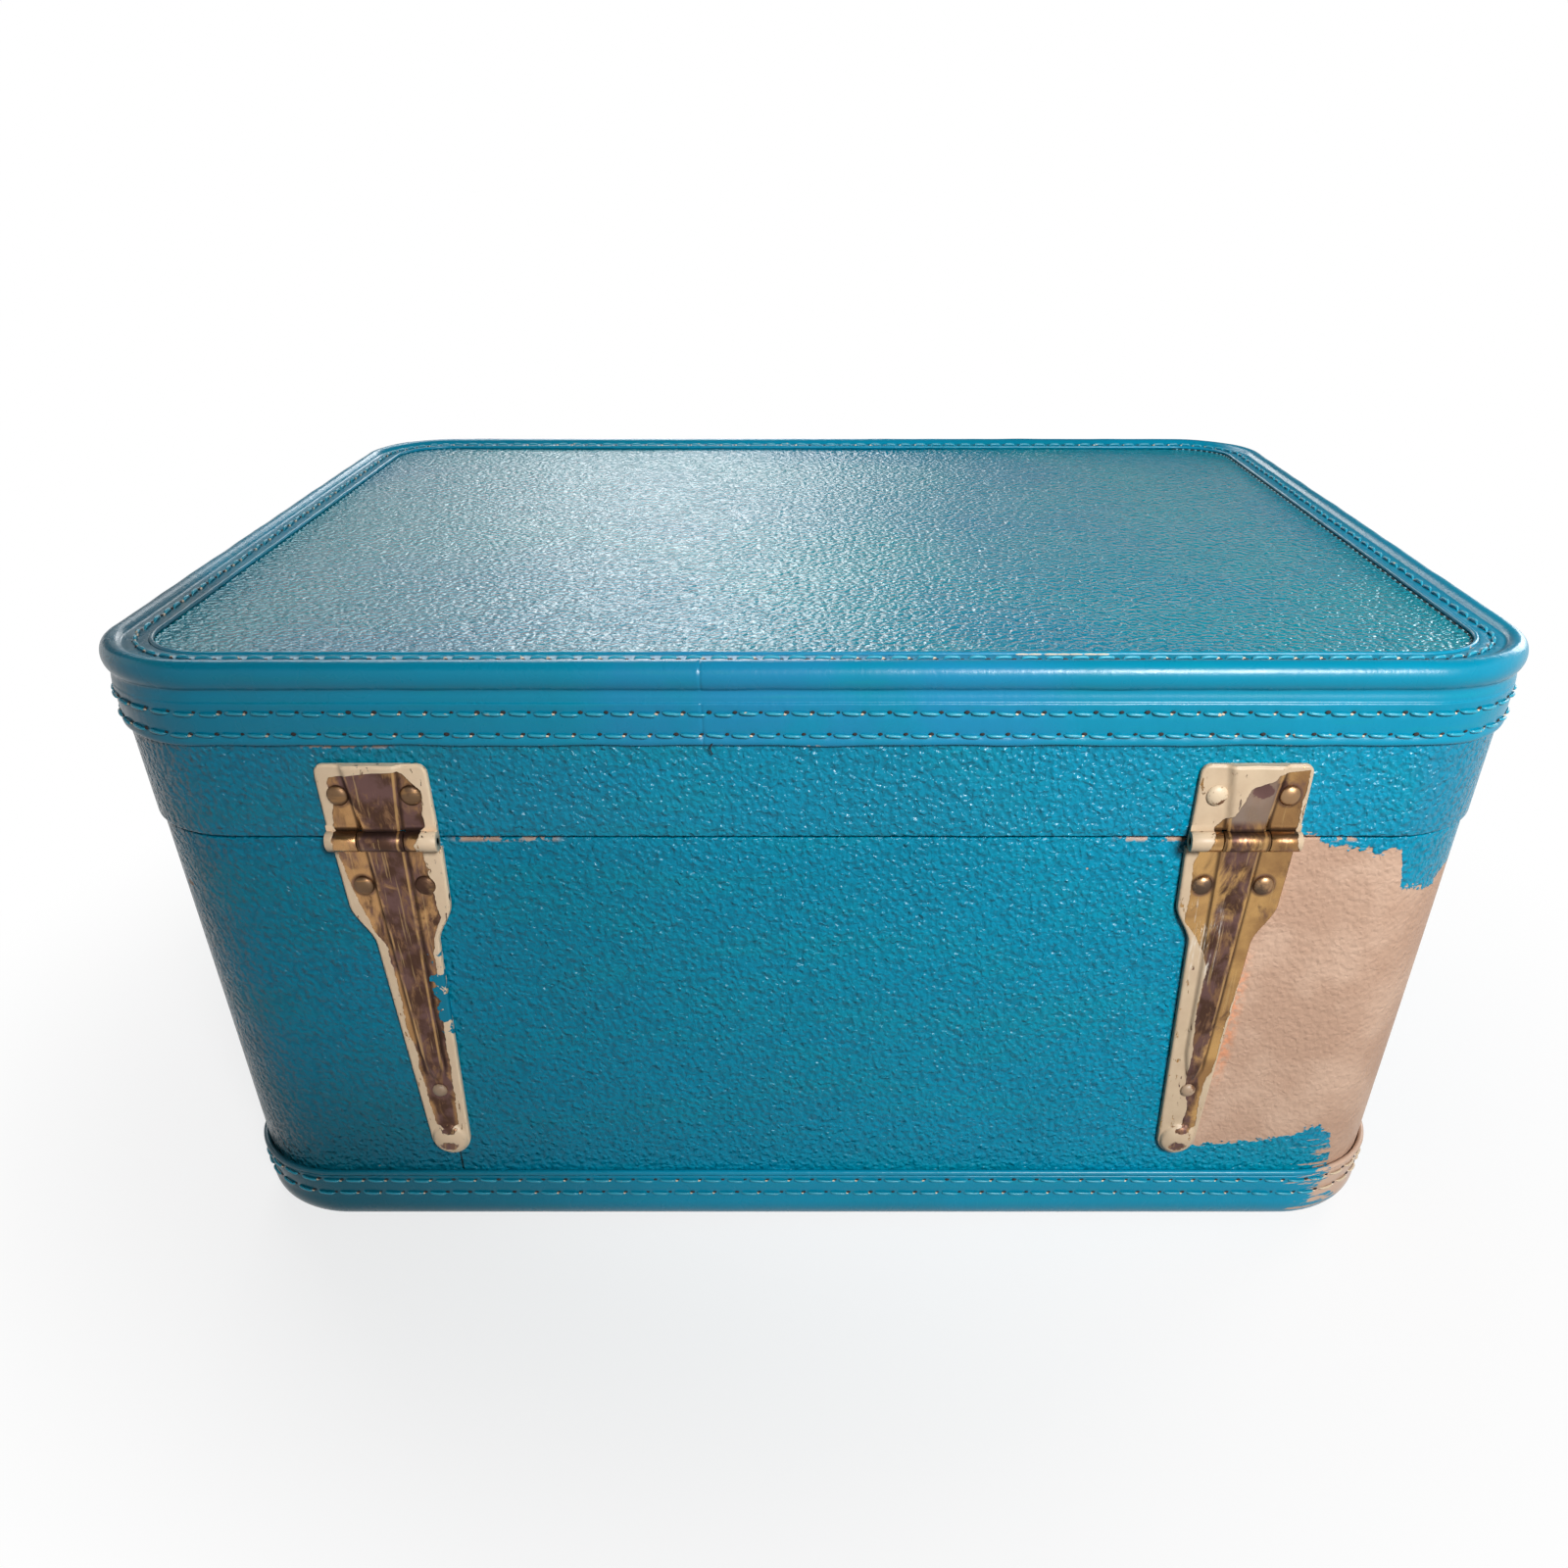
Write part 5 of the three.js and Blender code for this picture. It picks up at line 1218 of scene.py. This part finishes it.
def stamped_plate(name, x, heights, half_width, relief, inner, face, material):
    """Sheet metal on the back: a face that follows relief, with rounded edges, over a flat underside."""
    across = np.sin(np.linspace(-math.pi / 2, math.pi / 2, 61))
    z = heights[:, None]
    half = half_width(heights)[:, None]
    u = across[None, :] * half
    edge_gap = half - np.abs(u)
    curl = 0.9 * MM
    rounding = curl * (1 - np.sqrt(np.clip(1 - (1 - np.clip(edge_gap / curl, 0, 1)) ** 2, 0, 1)))
    end_round = 0.5 * MM * (1 - ease(np.abs(z - heights[-1]), 0, 0.9 * MM)) * (heights[-1] > 0)
    out = face + relief(u, z) - rounding - end_round
    front = np.stack([x + u, BACK_Y + out, SEAM + z + 0 * u], -1)
    back = np.stack([x + u[:, ::-1], np.full(u.shape, BACK_Y + inner), SEAM + z + 0 * u], -1)
    points = np.concatenate([front, back], 1)
    map_u = np.concatenate([u, u[:, ::-1]], 1)
    return hinge_sheet(name, points, map_u, z + 0 * map_u, material)


def run_across(name, profile, x, low, high, material):
    """A [out, height] outline run along X from low to high about a hinge's middle, its ends eased."""
    middle = profile.mean(axis=0)
    chamfer = 0.25 * MM
    rows = []
    for u, scale in ((low, 0.93), (low + chamfer, 1), (high - chamfer, 1), (high, 0.93)):
        ends = middle + (profile - middle) * scale
        rows.append(np.column_stack([np.full(len(ends), x + u), BACK_Y + ends[:, 0], SEAM + ends[:, 1]]))
    points = np.array(rows)
    return hinge_sheet(name, points, points[..., 0] - x, points[..., 2] - SEAM, material)


def together(name, pieces):
    bpy.ops.object.select_all(action="DESELECT")
    for piece in pieces:
        piece.select_set(True)
    bpy.context.view_layer.objects.active = pieces[0]
    bpy.ops.object.join()
    pieces[0].name = name
    return pieces[0]


def knuckle_profile(inner, face, up):
    """A sheet that runs off the plate and curls round the pin; up is 1 on the leaf and -1 on the strap."""
    turn = np.radians(np.linspace(180, 450 + 28, 34))
    curl = np.stack([PIN_OUT + KNUCKLE * np.cos(turn), up * KNUCKLE * np.sin(turn)], 1)
    foot = up * 4.6 * MM
    start = [(inner, foot)]
    if inner < PIN_OUT - KNUCKLE - 0.1 * MM:
        start.append((inner, up * 0.2 * MM))
    end = [(face + 0.15 * MM, up * 3.4 * MM), (face, foot)]
    return np.array([*start, *curl, *end])


def hinge(side):
    low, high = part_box(f"hinge_leaf_{side}")
    x = (low.x + high.x) / 2
    brass = hinge_paint[side]
    heights = 3.15 * MM + (LEAF_TOP - 3.15 * MM) * np.sin(np.linspace(0, math.pi / 2, 60))
    leaf = [stamped_plate("leaf", x, heights, leaf_half_width, leaf_height, LEAF_IN, LEAF_FACE, brass)]
    curl = knuckle_profile(LEAF_IN, LEAF_FACE, 1)
    leaf.append(run_across("knuckle", curl, x, -LEAF_HALF, -NOTCH_HALF, brass))
    leaf.append(run_across("knuckle", curl, x, NOTCH_HALF, LEAF_HALF, brass))
    fit(together(f"stamped_leaf_{side}", leaf), "lid", "brass", f"hinge_leaf_{side}")
    down = 3.3 * MM + (STRAP_LENGTH - 3.3 * MM) * np.sin(np.linspace(0, math.pi / 2, 150))
    strap = [stamped_plate("strap", x, -down, strap_half_width, strap_height, STRAP_IN, STRAP_FACE, brass)]
    curl = knuckle_profile(STRAP_IN, STRAP_FACE, -1)
    strap.append(run_across("knuckle", curl, x, -MIDDLE_KNUCKLE_HALF, MIDDLE_KNUCKLE_HALF, brass))
    fit(together(f"stamped_strap_{side}", strap), "base", "brass", f"hinge_strap_{side}")


def domed_rivet(node, body, radius, height, material):
    """A dome with a thin shadow line under it, and its shank into the wall."""
    low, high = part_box(node)
    back = (low.y + high.y) / 2 > MIDDLE_Y
    x, z = (low.x + high.x) / 2, (low.z + high.z) / 2
    tip = high.y if back else low.y
    out = 1 if back else -1
    seat = tip - out * height
    profile = [(1.3 * MM, -4 * MM), (1.3 * MM, -0.12 * MM), (radius * 0.93, -0.12 * MM), (radius, 0.1 * MM)]
    profile += [(radius * math.cos(a), height * math.sin(a)) for a in np.radians(np.linspace(14, 84, 9))]
    sides = 28
    turn = circle(sides)
    rows = [
        np.column_stack([x + r * np.cos(turn), np.full(sides, seat + out * h), z + r * np.sin(turn)])
        for r, h in profile
    ]
    piece = grid_piece(node + "_head", np.array(rows), material, False, True, None, caps=True, sharp=60)
    fit(piece, body, "brass", node)


for side, bronze in (("left", rivet_gold), ("right", rivet_bronze)):
    hinge(side)
    for number in (1, 2, 3):
        head, metal = (2.5 * MM, rivet_paint) if number == 3 else (3.1 * MM, bronze)
        domed_rivet(f"strap_rivet_{side}_{number}", "base", head, 1.5 * MM, metal)
    for number in (1, 2):
        metal = rivet_cream if (side, number) == ("left", 2) else bronze
        domed_rivet(f"leaf_rivet_{side}_{number}", "lid", 3.1 * MM, 1.5 * MM, metal)
        domed_rivet(f"latch_rivet_{side}_{number}", "base", 2.5 * MM, 1.5 * MM, latch_brass)


# Handle


def tube_along(path, normals, radii, name, material, closed=False, sides=20):
    """A tube of elliptical section on a path in the plane of the front; radii are across and out."""
    turn = circle(sides)
    rows = []
    for (x, y, z), (nx, nz), (wide, deep) in zip(path, normals, radii):
        across = wide * np.cos(turn)
        rows.append(np.column_stack([x + nx * across, y + deep * np.sin(turn), z + nz * across]))
    return grid_piece(name, np.array(rows), material, closed, True, None, caps=not closed)


def handle_link(side):
    low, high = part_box(f"handle_link_{side}")
    radius = (high.y - low.y) / 2
    middle = (low + high) / 2
    half_x, half_z = (high.x - low.x) / 2 - radius, (high.z - low.z) / 2 - radius
    corner = 4 * MM
    path, normals = [], []
    for quarter in range(4):
        cx = (half_x - corner) * (1 if quarter in (0, 3) else -1)
        cz = (half_z - corner) * (1 if quarter < 2 else -1)
        for angle in np.radians(np.linspace(quarter * 90, quarter * 90 + 90, 9)):
            out = (math.cos(angle), math.sin(angle))
            path.append((middle.x + cx + corner * out[0], middle.y, middle.z + cz + corner * out[1]))
            normals.append(out)
    piece = tube_along(path, normals, [(radius, radius)] * len(path), f"link_{side}", latch_brass, True, 14)
    fit(piece, "handle", "brass", f"handle_link_{side}")


def grip_path(steps):
    """Points of the grip's middle line and their normals in X and Z, from one end to the other."""
    low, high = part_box("handle_grip")
    half_wide, half_deep = 6.25 * MM, (high.y - low.y) / 2
    end_x, top_z, low_z = high.x - half_wide, high.z, low.z + half_wide
    bend = 14 * MM
    y = (low.y + high.y) / 2
    corners = [(-end_x, top_z), (-end_x, low_z + bend), (-end_x, low_z), (-end_x + bend, low_z)]
    line = [corners[0]]
    for t in np.linspace(0, 1, 12):
        a, b, c = map(np.array, corners[1:])
        line.append(tuple((1 - t) ** 2 * a + 2 * t * (1 - t) * b + t**2 * c))
    line += [(x, low_z) for x in np.linspace(-end_x + bend, 0, steps)[1:]]
    line = np.array(line + [(-x, z) for x, z in reversed(line[:-1])])
    way = np.gradient(line, axis=0)
    way /= np.linalg.norm(way, axis=1)[:, None]
    return line, np.stack([-way[:, 1], way[:, 0]], 1), y, half_wide, half_deep


def handle_grip():
    line, normals, y, wide, deep = grip_path(16)
    count = len(line)
    share = np.linspace(-1, 1, count)
    swell = 0.9 + 0.1 * np.exp(-((share / 0.5) ** 4))
    swell[[0, -1]] *= 0.82
    sides = 36
    turn = circle(sides)
    seam = np.exp(-(((np.mod(turn + math.pi, 2 * math.pi) - math.pi) / 0.2) ** 2))
    rows = []
    for (x, z), (nx, nz), grow in zip(line, normals, swell):
        wide_here = wide * grow * (1 - 0.06 * np.cos(2 * turn)) + 0.5 * MM * seam
        reach = np.cos(turn) * wide_here
        rows.append(np.column_stack([x + nx * reach, y + np.sin(turn) * deep * grow * 0.96, z + nz * reach]))
    piece = grid_piece("leather_grip", np.array(rows), grip_leather, False, True, None, caps=True)
    fit(piece, "handle", "grip", "handle_grip")
    grip_stitches(line, normals, y, wide, deep)


def grip_stitches(line, normals, y, wide, deep):
    """Two rows of short stitches beside the seam on the grip's inner side."""
    gap = np.append(0, np.cumsum(np.linalg.norm(np.diff(line, axis=0), axis=1)))
    places = np.arange(6 * MM, gap[-1] - 6 * MM, 4.6 * MM)
    radius, length = 0.42 * MM, 3.3 * MM
    turns = circle(6)
    steps = np.linspace(-1, 1, 5)
    points, faces = [], []
    for row in (-1, 1):
        for place in places:
            for step in steps:
                at = place + step * length / 2
                x, z = (np.interp(at, gap, line[:, k]) for k in (0, 1))
                nx, nz = (np.interp(at, gap, normals[:, k]) for k in (0, 1))
                reach = wide * 0.87 + 0.25 * MM - 0.5 * MM * step**4
                thin = radius * math.sqrt(max(1 - step**4, 0.05))
                for a in turns:
                    points.append((
                        x + nx * (reach + thin * math.sin(a)),
                        y + row * deep * 0.36 + thin * math.cos(a),
                        z + nz * (reach + thin * math.sin(a)),
                    ))
            first = len(points) - 30
            faces.extend((grid_faces(5, 6, False, True) + first).tolist())
            faces.append(list(range(first, first + 6)))
            faces.append(list(range(first + 29, first + 23, -1)))
    fit(mesh_piece("grip_stitches", points, faces, thread_bare), "handle", "grip")


handle_grip()
for side in SIDES:
    handle_link(side)


# Inside: linings, pad and closure lip


def lining_ring(name, node, body, proud, top_hem):
    low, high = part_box(node)
    out = LINING_OUT + proud
    corners = [(out - 0.7 * MM, low.z), (out, low.z), (out, high.z), (out - 0.7 * MM, high.z)]
    profile = filled_in(rounded(corners, [0.2 * MM] * 4, 2), 5 * MM)
    s = steps_around(3 * MM)
    inner = (profile[:, 0] < out - 0.4 * MM)[None, :]
    hem = high.z if top_hem else low.z
    near_hem = np.exp(-np.abs(profile[:, 1] - hem) / (14 * MM))
    ripple = waves(s, (11 * MM, 17 * MM, 29 * MM), 41)[:, None] * near_hem
    swell = np.where(inner, 0.12 * MM * ripple + 0.1 * MM * waves(s, (67 * MM, 103 * MM), 43)[:, None], 0)
    piece = ring_piece(name, s, profile, lining_cloth, swell)
    fit(piece, body, "lining", node)


def quilted_pad(name, node, body, face_up):
    """A thin cloth-covered pad: flat against its board, softly crowned, with sewn lines across it."""
    low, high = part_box(node)
    offset = high.x - WIDTH / 2
    step = 4 * MM
    bottom, top = (low.z, high.z) if face_up else (high.z, low.z)
    rings = 90
    rim = flat_outline(offset, step)
    middle = np.array([0.0, MIDDLE_Y])
    rows = [np.column_stack([rim, np.full(len(rim), bottom)])]
    thickness = abs(top - bottom)
    way = 1 if face_up else -1
    for ring in range(rings + 1):
        share = max(1 - ring / rings, 0.004)
        plan = middle + (rim - middle) * share
        inside = 1 - share
        crown = 1 - math.exp(-inside / 0.022)
        x, y = plan[:, 0] / MM, (plan[:, 1] - MIDDLE_Y) / MM
        a = np.abs(np.mod((x + y) / 62 + 0.5, 1) - 0.5) * 62
        b = np.abs(np.mod((x - y) / 62 + 0.5, 1) - 0.5) * 62
        sewn = np.exp(-(np.minimum(a, b) / 2.6) ** 1.3)
        height = thickness * (0.35 + 0.65 * crown * (1 - 0.75 * sewn))
        rows.append(np.column_stack([plan, bottom + way * height]))
    piece = grid_piece(name, np.array(rows), lining_cloth, False, True, None, caps=True)
    fit(piece, body, "lining", node)


def closure_lip():
    low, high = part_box("base_lip")
    corners = [(LIP_OUT, low.z), (LIP_OUT, high.z), (LIP_OUT - LIP, high.z), (LIP_OUT - LIP, low.z)]
    profile = filled_in(rounded(corners, [0.2 * MM, 0.9 * MM, 0.9 * MM, 0.2 * MM]), 3 * MM)
    s = steps_around(2.6 * MM)
    swell = 0.1 * MM * waves(s, (39 * MM, 73 * MM, 121 * MM), 51)[:, None] * np.ones(len(profile))
    fit(ring_piece("cloth_lip", s, profile, lip_cloth, swell), "base", "lip", "base_lip")


lining_ring("base_wall_lining", "base_lining", "base", 0.0, True)
lining_ring("lid_wall_lining", "lid_lining", "lid", LID_PROUD, False)
quilted_pad("quilted_floor", "base_floor_pad", "base", True)
quilted_pad("quilted_lid", "lid_top_lining", "lid", False)
closure_lip()


# The lid stay's arm

STAY_HOLE = 2.3 * MM
STAY_END = 1.2 * MM


def soften(piece):
    """Rounds the edges of stamped metal."""
    bevel = piece.modifiers.new("softened", "BEVEL")
    bevel.width = 0.3 * MM
    bevel.segments = 3
    bevel.limit_method = "ANGLE"
    bevel.angle_limit = math.radians(35)
    bevel.harden_normals = True


def round_ended(y, low_z, high_z, radius):
    top = ellipse((y, high_z), (radius, radius), 0, 180, 20)
    return np.vstack([top, ellipse((y, low_z), (radius, radius), 180, 360, 20)])


def strip_with_holes(outlines, x, thickness):
    """Points and faces of a flat strip across X: the first outline is its edge, the rest are its holes."""
    strip = bmesh.new()
    edges = []
    for outline in outlines:
        corners = [strip.verts.new((x, y, z)) for y, z in outline]
        edges += [strip.edges.new((corners[index - 1], corner)) for index, corner in enumerate(corners)]
    filled = bmesh.ops.triangle_fill(strip, edges=edges, use_beauty=True)
    faces = [part for part in filled["geom"] if isinstance(part, bmesh.types.BMFace)]
    raised = bmesh.ops.extrude_face_region(strip, geom=faces)
    moved = [part for part in raised["geom"] if isinstance(part, bmesh.types.BMVert)]
    bmesh.ops.translate(strip, verts=moved, vec=(thickness, 0, 0))
    strip.verts.index_update()
    points = [tuple(corner.co) for corner in strip.verts]
    faces = [[corner.index for corner in face.verts] for face in strip.faces]
    strip.free()
    return points, faces


def stay_arm():
    """A stamped strip with a round hole for its pivot on the lid and a slot for the stud on the base."""
    low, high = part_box("stay_arm")
    pivot_low, pivot_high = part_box("stay_pivot")
    stud_low, stud_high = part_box("stay_stud")
    y, half = (low.y + high.y) / 2, (high.y - low.y) / 2
    pivot_z, stud_z = (pivot_low.z + pivot_high.z) / 2, (stud_low.z + stud_high.z) / 2
    tail_z = low.z + half
    hole = ellipse((y, pivot_z), (STAY_HOLE, STAY_HOLE), 0, 360, 40)[:-1]
    slot = round_ended(y, tail_z + STAY_END, stud_z, STAY_HOLE)
    outlines = [round_ended(y, tail_z, pivot_z, half), hole, slot]
    points, faces = strip_with_holes(outlines, low.x, high.x - low.x)
    piece = mesh_piece("slotted_arm", points, faces, steel, None, 35)
    soften(piece)
    fit(piece, "stay", "steel", "stay_arm")


stay_arm()


# Nodes that stay as they are, with their materials and softened edges


def on_both_sides(*names):
    return [f"{name}_{side}" for side in SIDES for name in names]


KEPT = {
    board: ["base_wall", "base_floor", "lid_wall", "lid_top_panel"],
    wall_paint: ["base_floor_covering"],
    steel: [*on_both_sides("hinge_pin", "latch_pin", "latch_spring"), "stay_stud", "stay_pivot"],
    latch_brass: on_both_sides("latch_plate", "latch_hasp", "latch_button", "latch_keeper", "handle_bracket"),
}

for material, names in KEPT.items():
    for name in names:
        node = frame["nodes"][name]
        node.data.materials.clear()
        node.data.materials.append(material)
        if material in (steel, latch_brass):
            soften(node)


# Floor, light and camera

PALE = (0.93, 0.93, 0.93, 1.0)
SHADOW_REACH = (0.2, 0.42)
NEAR_WHITE = 0.72
ROOM_LIGHT = (0.94, 0.97, 1.0, 1.0)
ROOM_STRENGTH = 0.09
STAGE_SIDES = 96


def floor_material():
    """A pale floor that keeps the case's shadow near it and runs out to white all round."""
    surface = Surface("pale_floor", roughness=0.8, specular_ior_level=0.1)
    path = surface.add("ShaderNodeLightPath").outputs
    seen = surface.most(path["Is Camera Ray"], path["Is Glossy Ray"])
    seen = surface.most(seen, path["Is Transmission Ray"])
    surface.set(base_color=surface.mix(seen, (0.18, 0.18, 0.18, 1.0), PALE))
    distance = surface.out("ShaderNodeVectorMath", "Value", {0: surface.place}, operation="LENGTH")
    white_share = surface.blend(surface.step(distance, *SHADOW_REACH), NEAR_WHITE, 1.0)
    far = seen * white_share
    white = surface.add("ShaderNodeEmission", {"Strength": 1.0})
    both = surface.add("ShaderNodeMixShader", {"Fac": far})
    surface.links.new(surface.shader.outputs["BSDF"], both.inputs[1])
    surface.links.new(white.outputs["Emission"], both.inputs[2])
    surface.links.new(both.outputs["Shader"], surface.nodes["Material Output"].inputs["Surface"])
    return surface.material


def round_stage(name, profile, material):
    """A ring of the stage: its profile holds radii and heights, and a height may differ round the ring."""
    turn = circle(STAGE_SIDES)
    rows = [
        np.column_stack([r * np.cos(turn), r * np.sin(turn), z - 0.05 * MM + 0 * turn])
        for r, z in profile
    ]
    piece = grid_piece(name, np.array(rows), material, False, True)
    return piece


def floor_and_backdrop():
    radius, rise, top = 3.6, 0.45, 4.2
    middle = radius - rise
    profile = [(r, 0.0) for r in np.linspace(0.01, middle, 8)]
    bend = np.radians(range(10, 91, 10))
    profile += [(middle + rise * math.sin(a), rise - rise * math.cos(a)) for a in bend]
    profile.append((radius, top))
    round_stage("floor", profile, floor_material())


def dim_screen():
    """A screen before the backdrop that the gloss mirrors and the camera looks through."""
    radius, low_edge, high_edge, top = 3.55, 0.62, 3.0, 4.3
    behind_case = ease(-np.sin(circle(STAGE_SIDES)), 0.2, 0.7)
    surface = Surface("dim_screen", roughness=1.0, specular_ior_level=0.0, base_color=(0, 0, 0, 1))
    surface.set(emission_color=ROOM_LIGHT, emission_strength=ROOM_STRENGTH)
    profile = [(radius, high_edge + (low_edge - high_edge) * behind_case), (radius, top)]
    screen = round_stage("screen", profile, surface.material)
    screen.visible_camera = False


def key_beam(place, aim, spread, power):
    """The main lamp: a broad beam with a soft edge, strongest near one upper corner of the back."""
    lamp = bpy.data.lights.new("key", "SPOT")
    lamp.energy = power
    lamp.spot_size = math.radians(spread)
    lamp.spot_blend = 1.0
    lamp.shadow_soft_size = 0.16
    put_lamp("key", lamp, place, aim)


def put_lamp(name, lamp, place, aim):
    holder = bpy.data.objects.new(name, lamp)
    holder.location = place
    holder.rotation_euler = (Vector(aim) - Vector(place)).to_track_quat("-Z", "Y").to_euler()
    bpy.context.scene.collection.objects.link(holder)


def softbox(name, place, aim, size, power, colour=(1, 1, 1)):
    lamp = bpy.data.lights.new(name, "AREA")
    lamp.shape = "RECTANGLE"
    lamp.size, lamp.size_y = size
    lamp.energy = power
    lamp.color = colour
    put_lamp(name, lamp, place, aim)


def studio():
    world = bpy.data.worlds.new("studio")
    world.use_nodes = True
    background = world.node_tree.nodes["Background"]
    background.inputs["Color"].default_value = ROOM_LIGHT
    background.inputs["Strength"].default_value = ROOM_STRENGTH
    bpy.context.scene.world = world
    key_beam((-0.4, 1.0, 0.75), (-0.165, BACK_Y, SEAM + 0.09), 42, 77)
    softbox("glow", (-0.66, 1.57, 0.62), (-0.14, BACK_Y, SEAM), (0.5, 0.6), 2.4)
    softbox("front", (0.7, -1.7, 1.7), (0.0, 0.0, 0.1), (1.4, 0.9), 22)
    softbox("side", (-1.7, -1.5, 0.8), (0.0, 0.0, 0.1), (0.8, 0.8), 14)
    softbox("window", (0.3, -2.75, 0.98), (0.0, 0.1, 0.2), (0.8, 0.6), 9.5)


def photo_camera():
    """The photograph's view: fitted to the case's edges, seam, stitch rows and hinges."""
    photo_size = 1600
    focal_pixels = 1287
    axis_x, axis_y = 830.4, 1116
    pitch_down = 36.72
    camera = bpy.data.cameras.new("photo")
    camera.sensor_width = 36
    camera.lens = focal_pixels / photo_size * camera.sensor_width
    camera.shift_x = (photo_size / 2 - axis_x) / photo_size
    camera.shift_y = (axis_y - photo_size / 2) / photo_size
    camera.clip_start = 0.01
    holder = bpy.data.objects.new("photo", camera)
    holder.location = (0.0, BACK_Y + 344.1 * MM, SEAM + 161.4 * MM)
    holder.rotation_euler = (math.radians(90 - pitch_down), 0.0, math.radians(180))
    bpy.context.scene.collection.objects.link(holder)
    bpy.context.scene.camera = holder


floor_and_backdrop()
dim_screen()
studio()
photo_camera()
bpy.context.scene.view_settings.view_transform = "Standard"
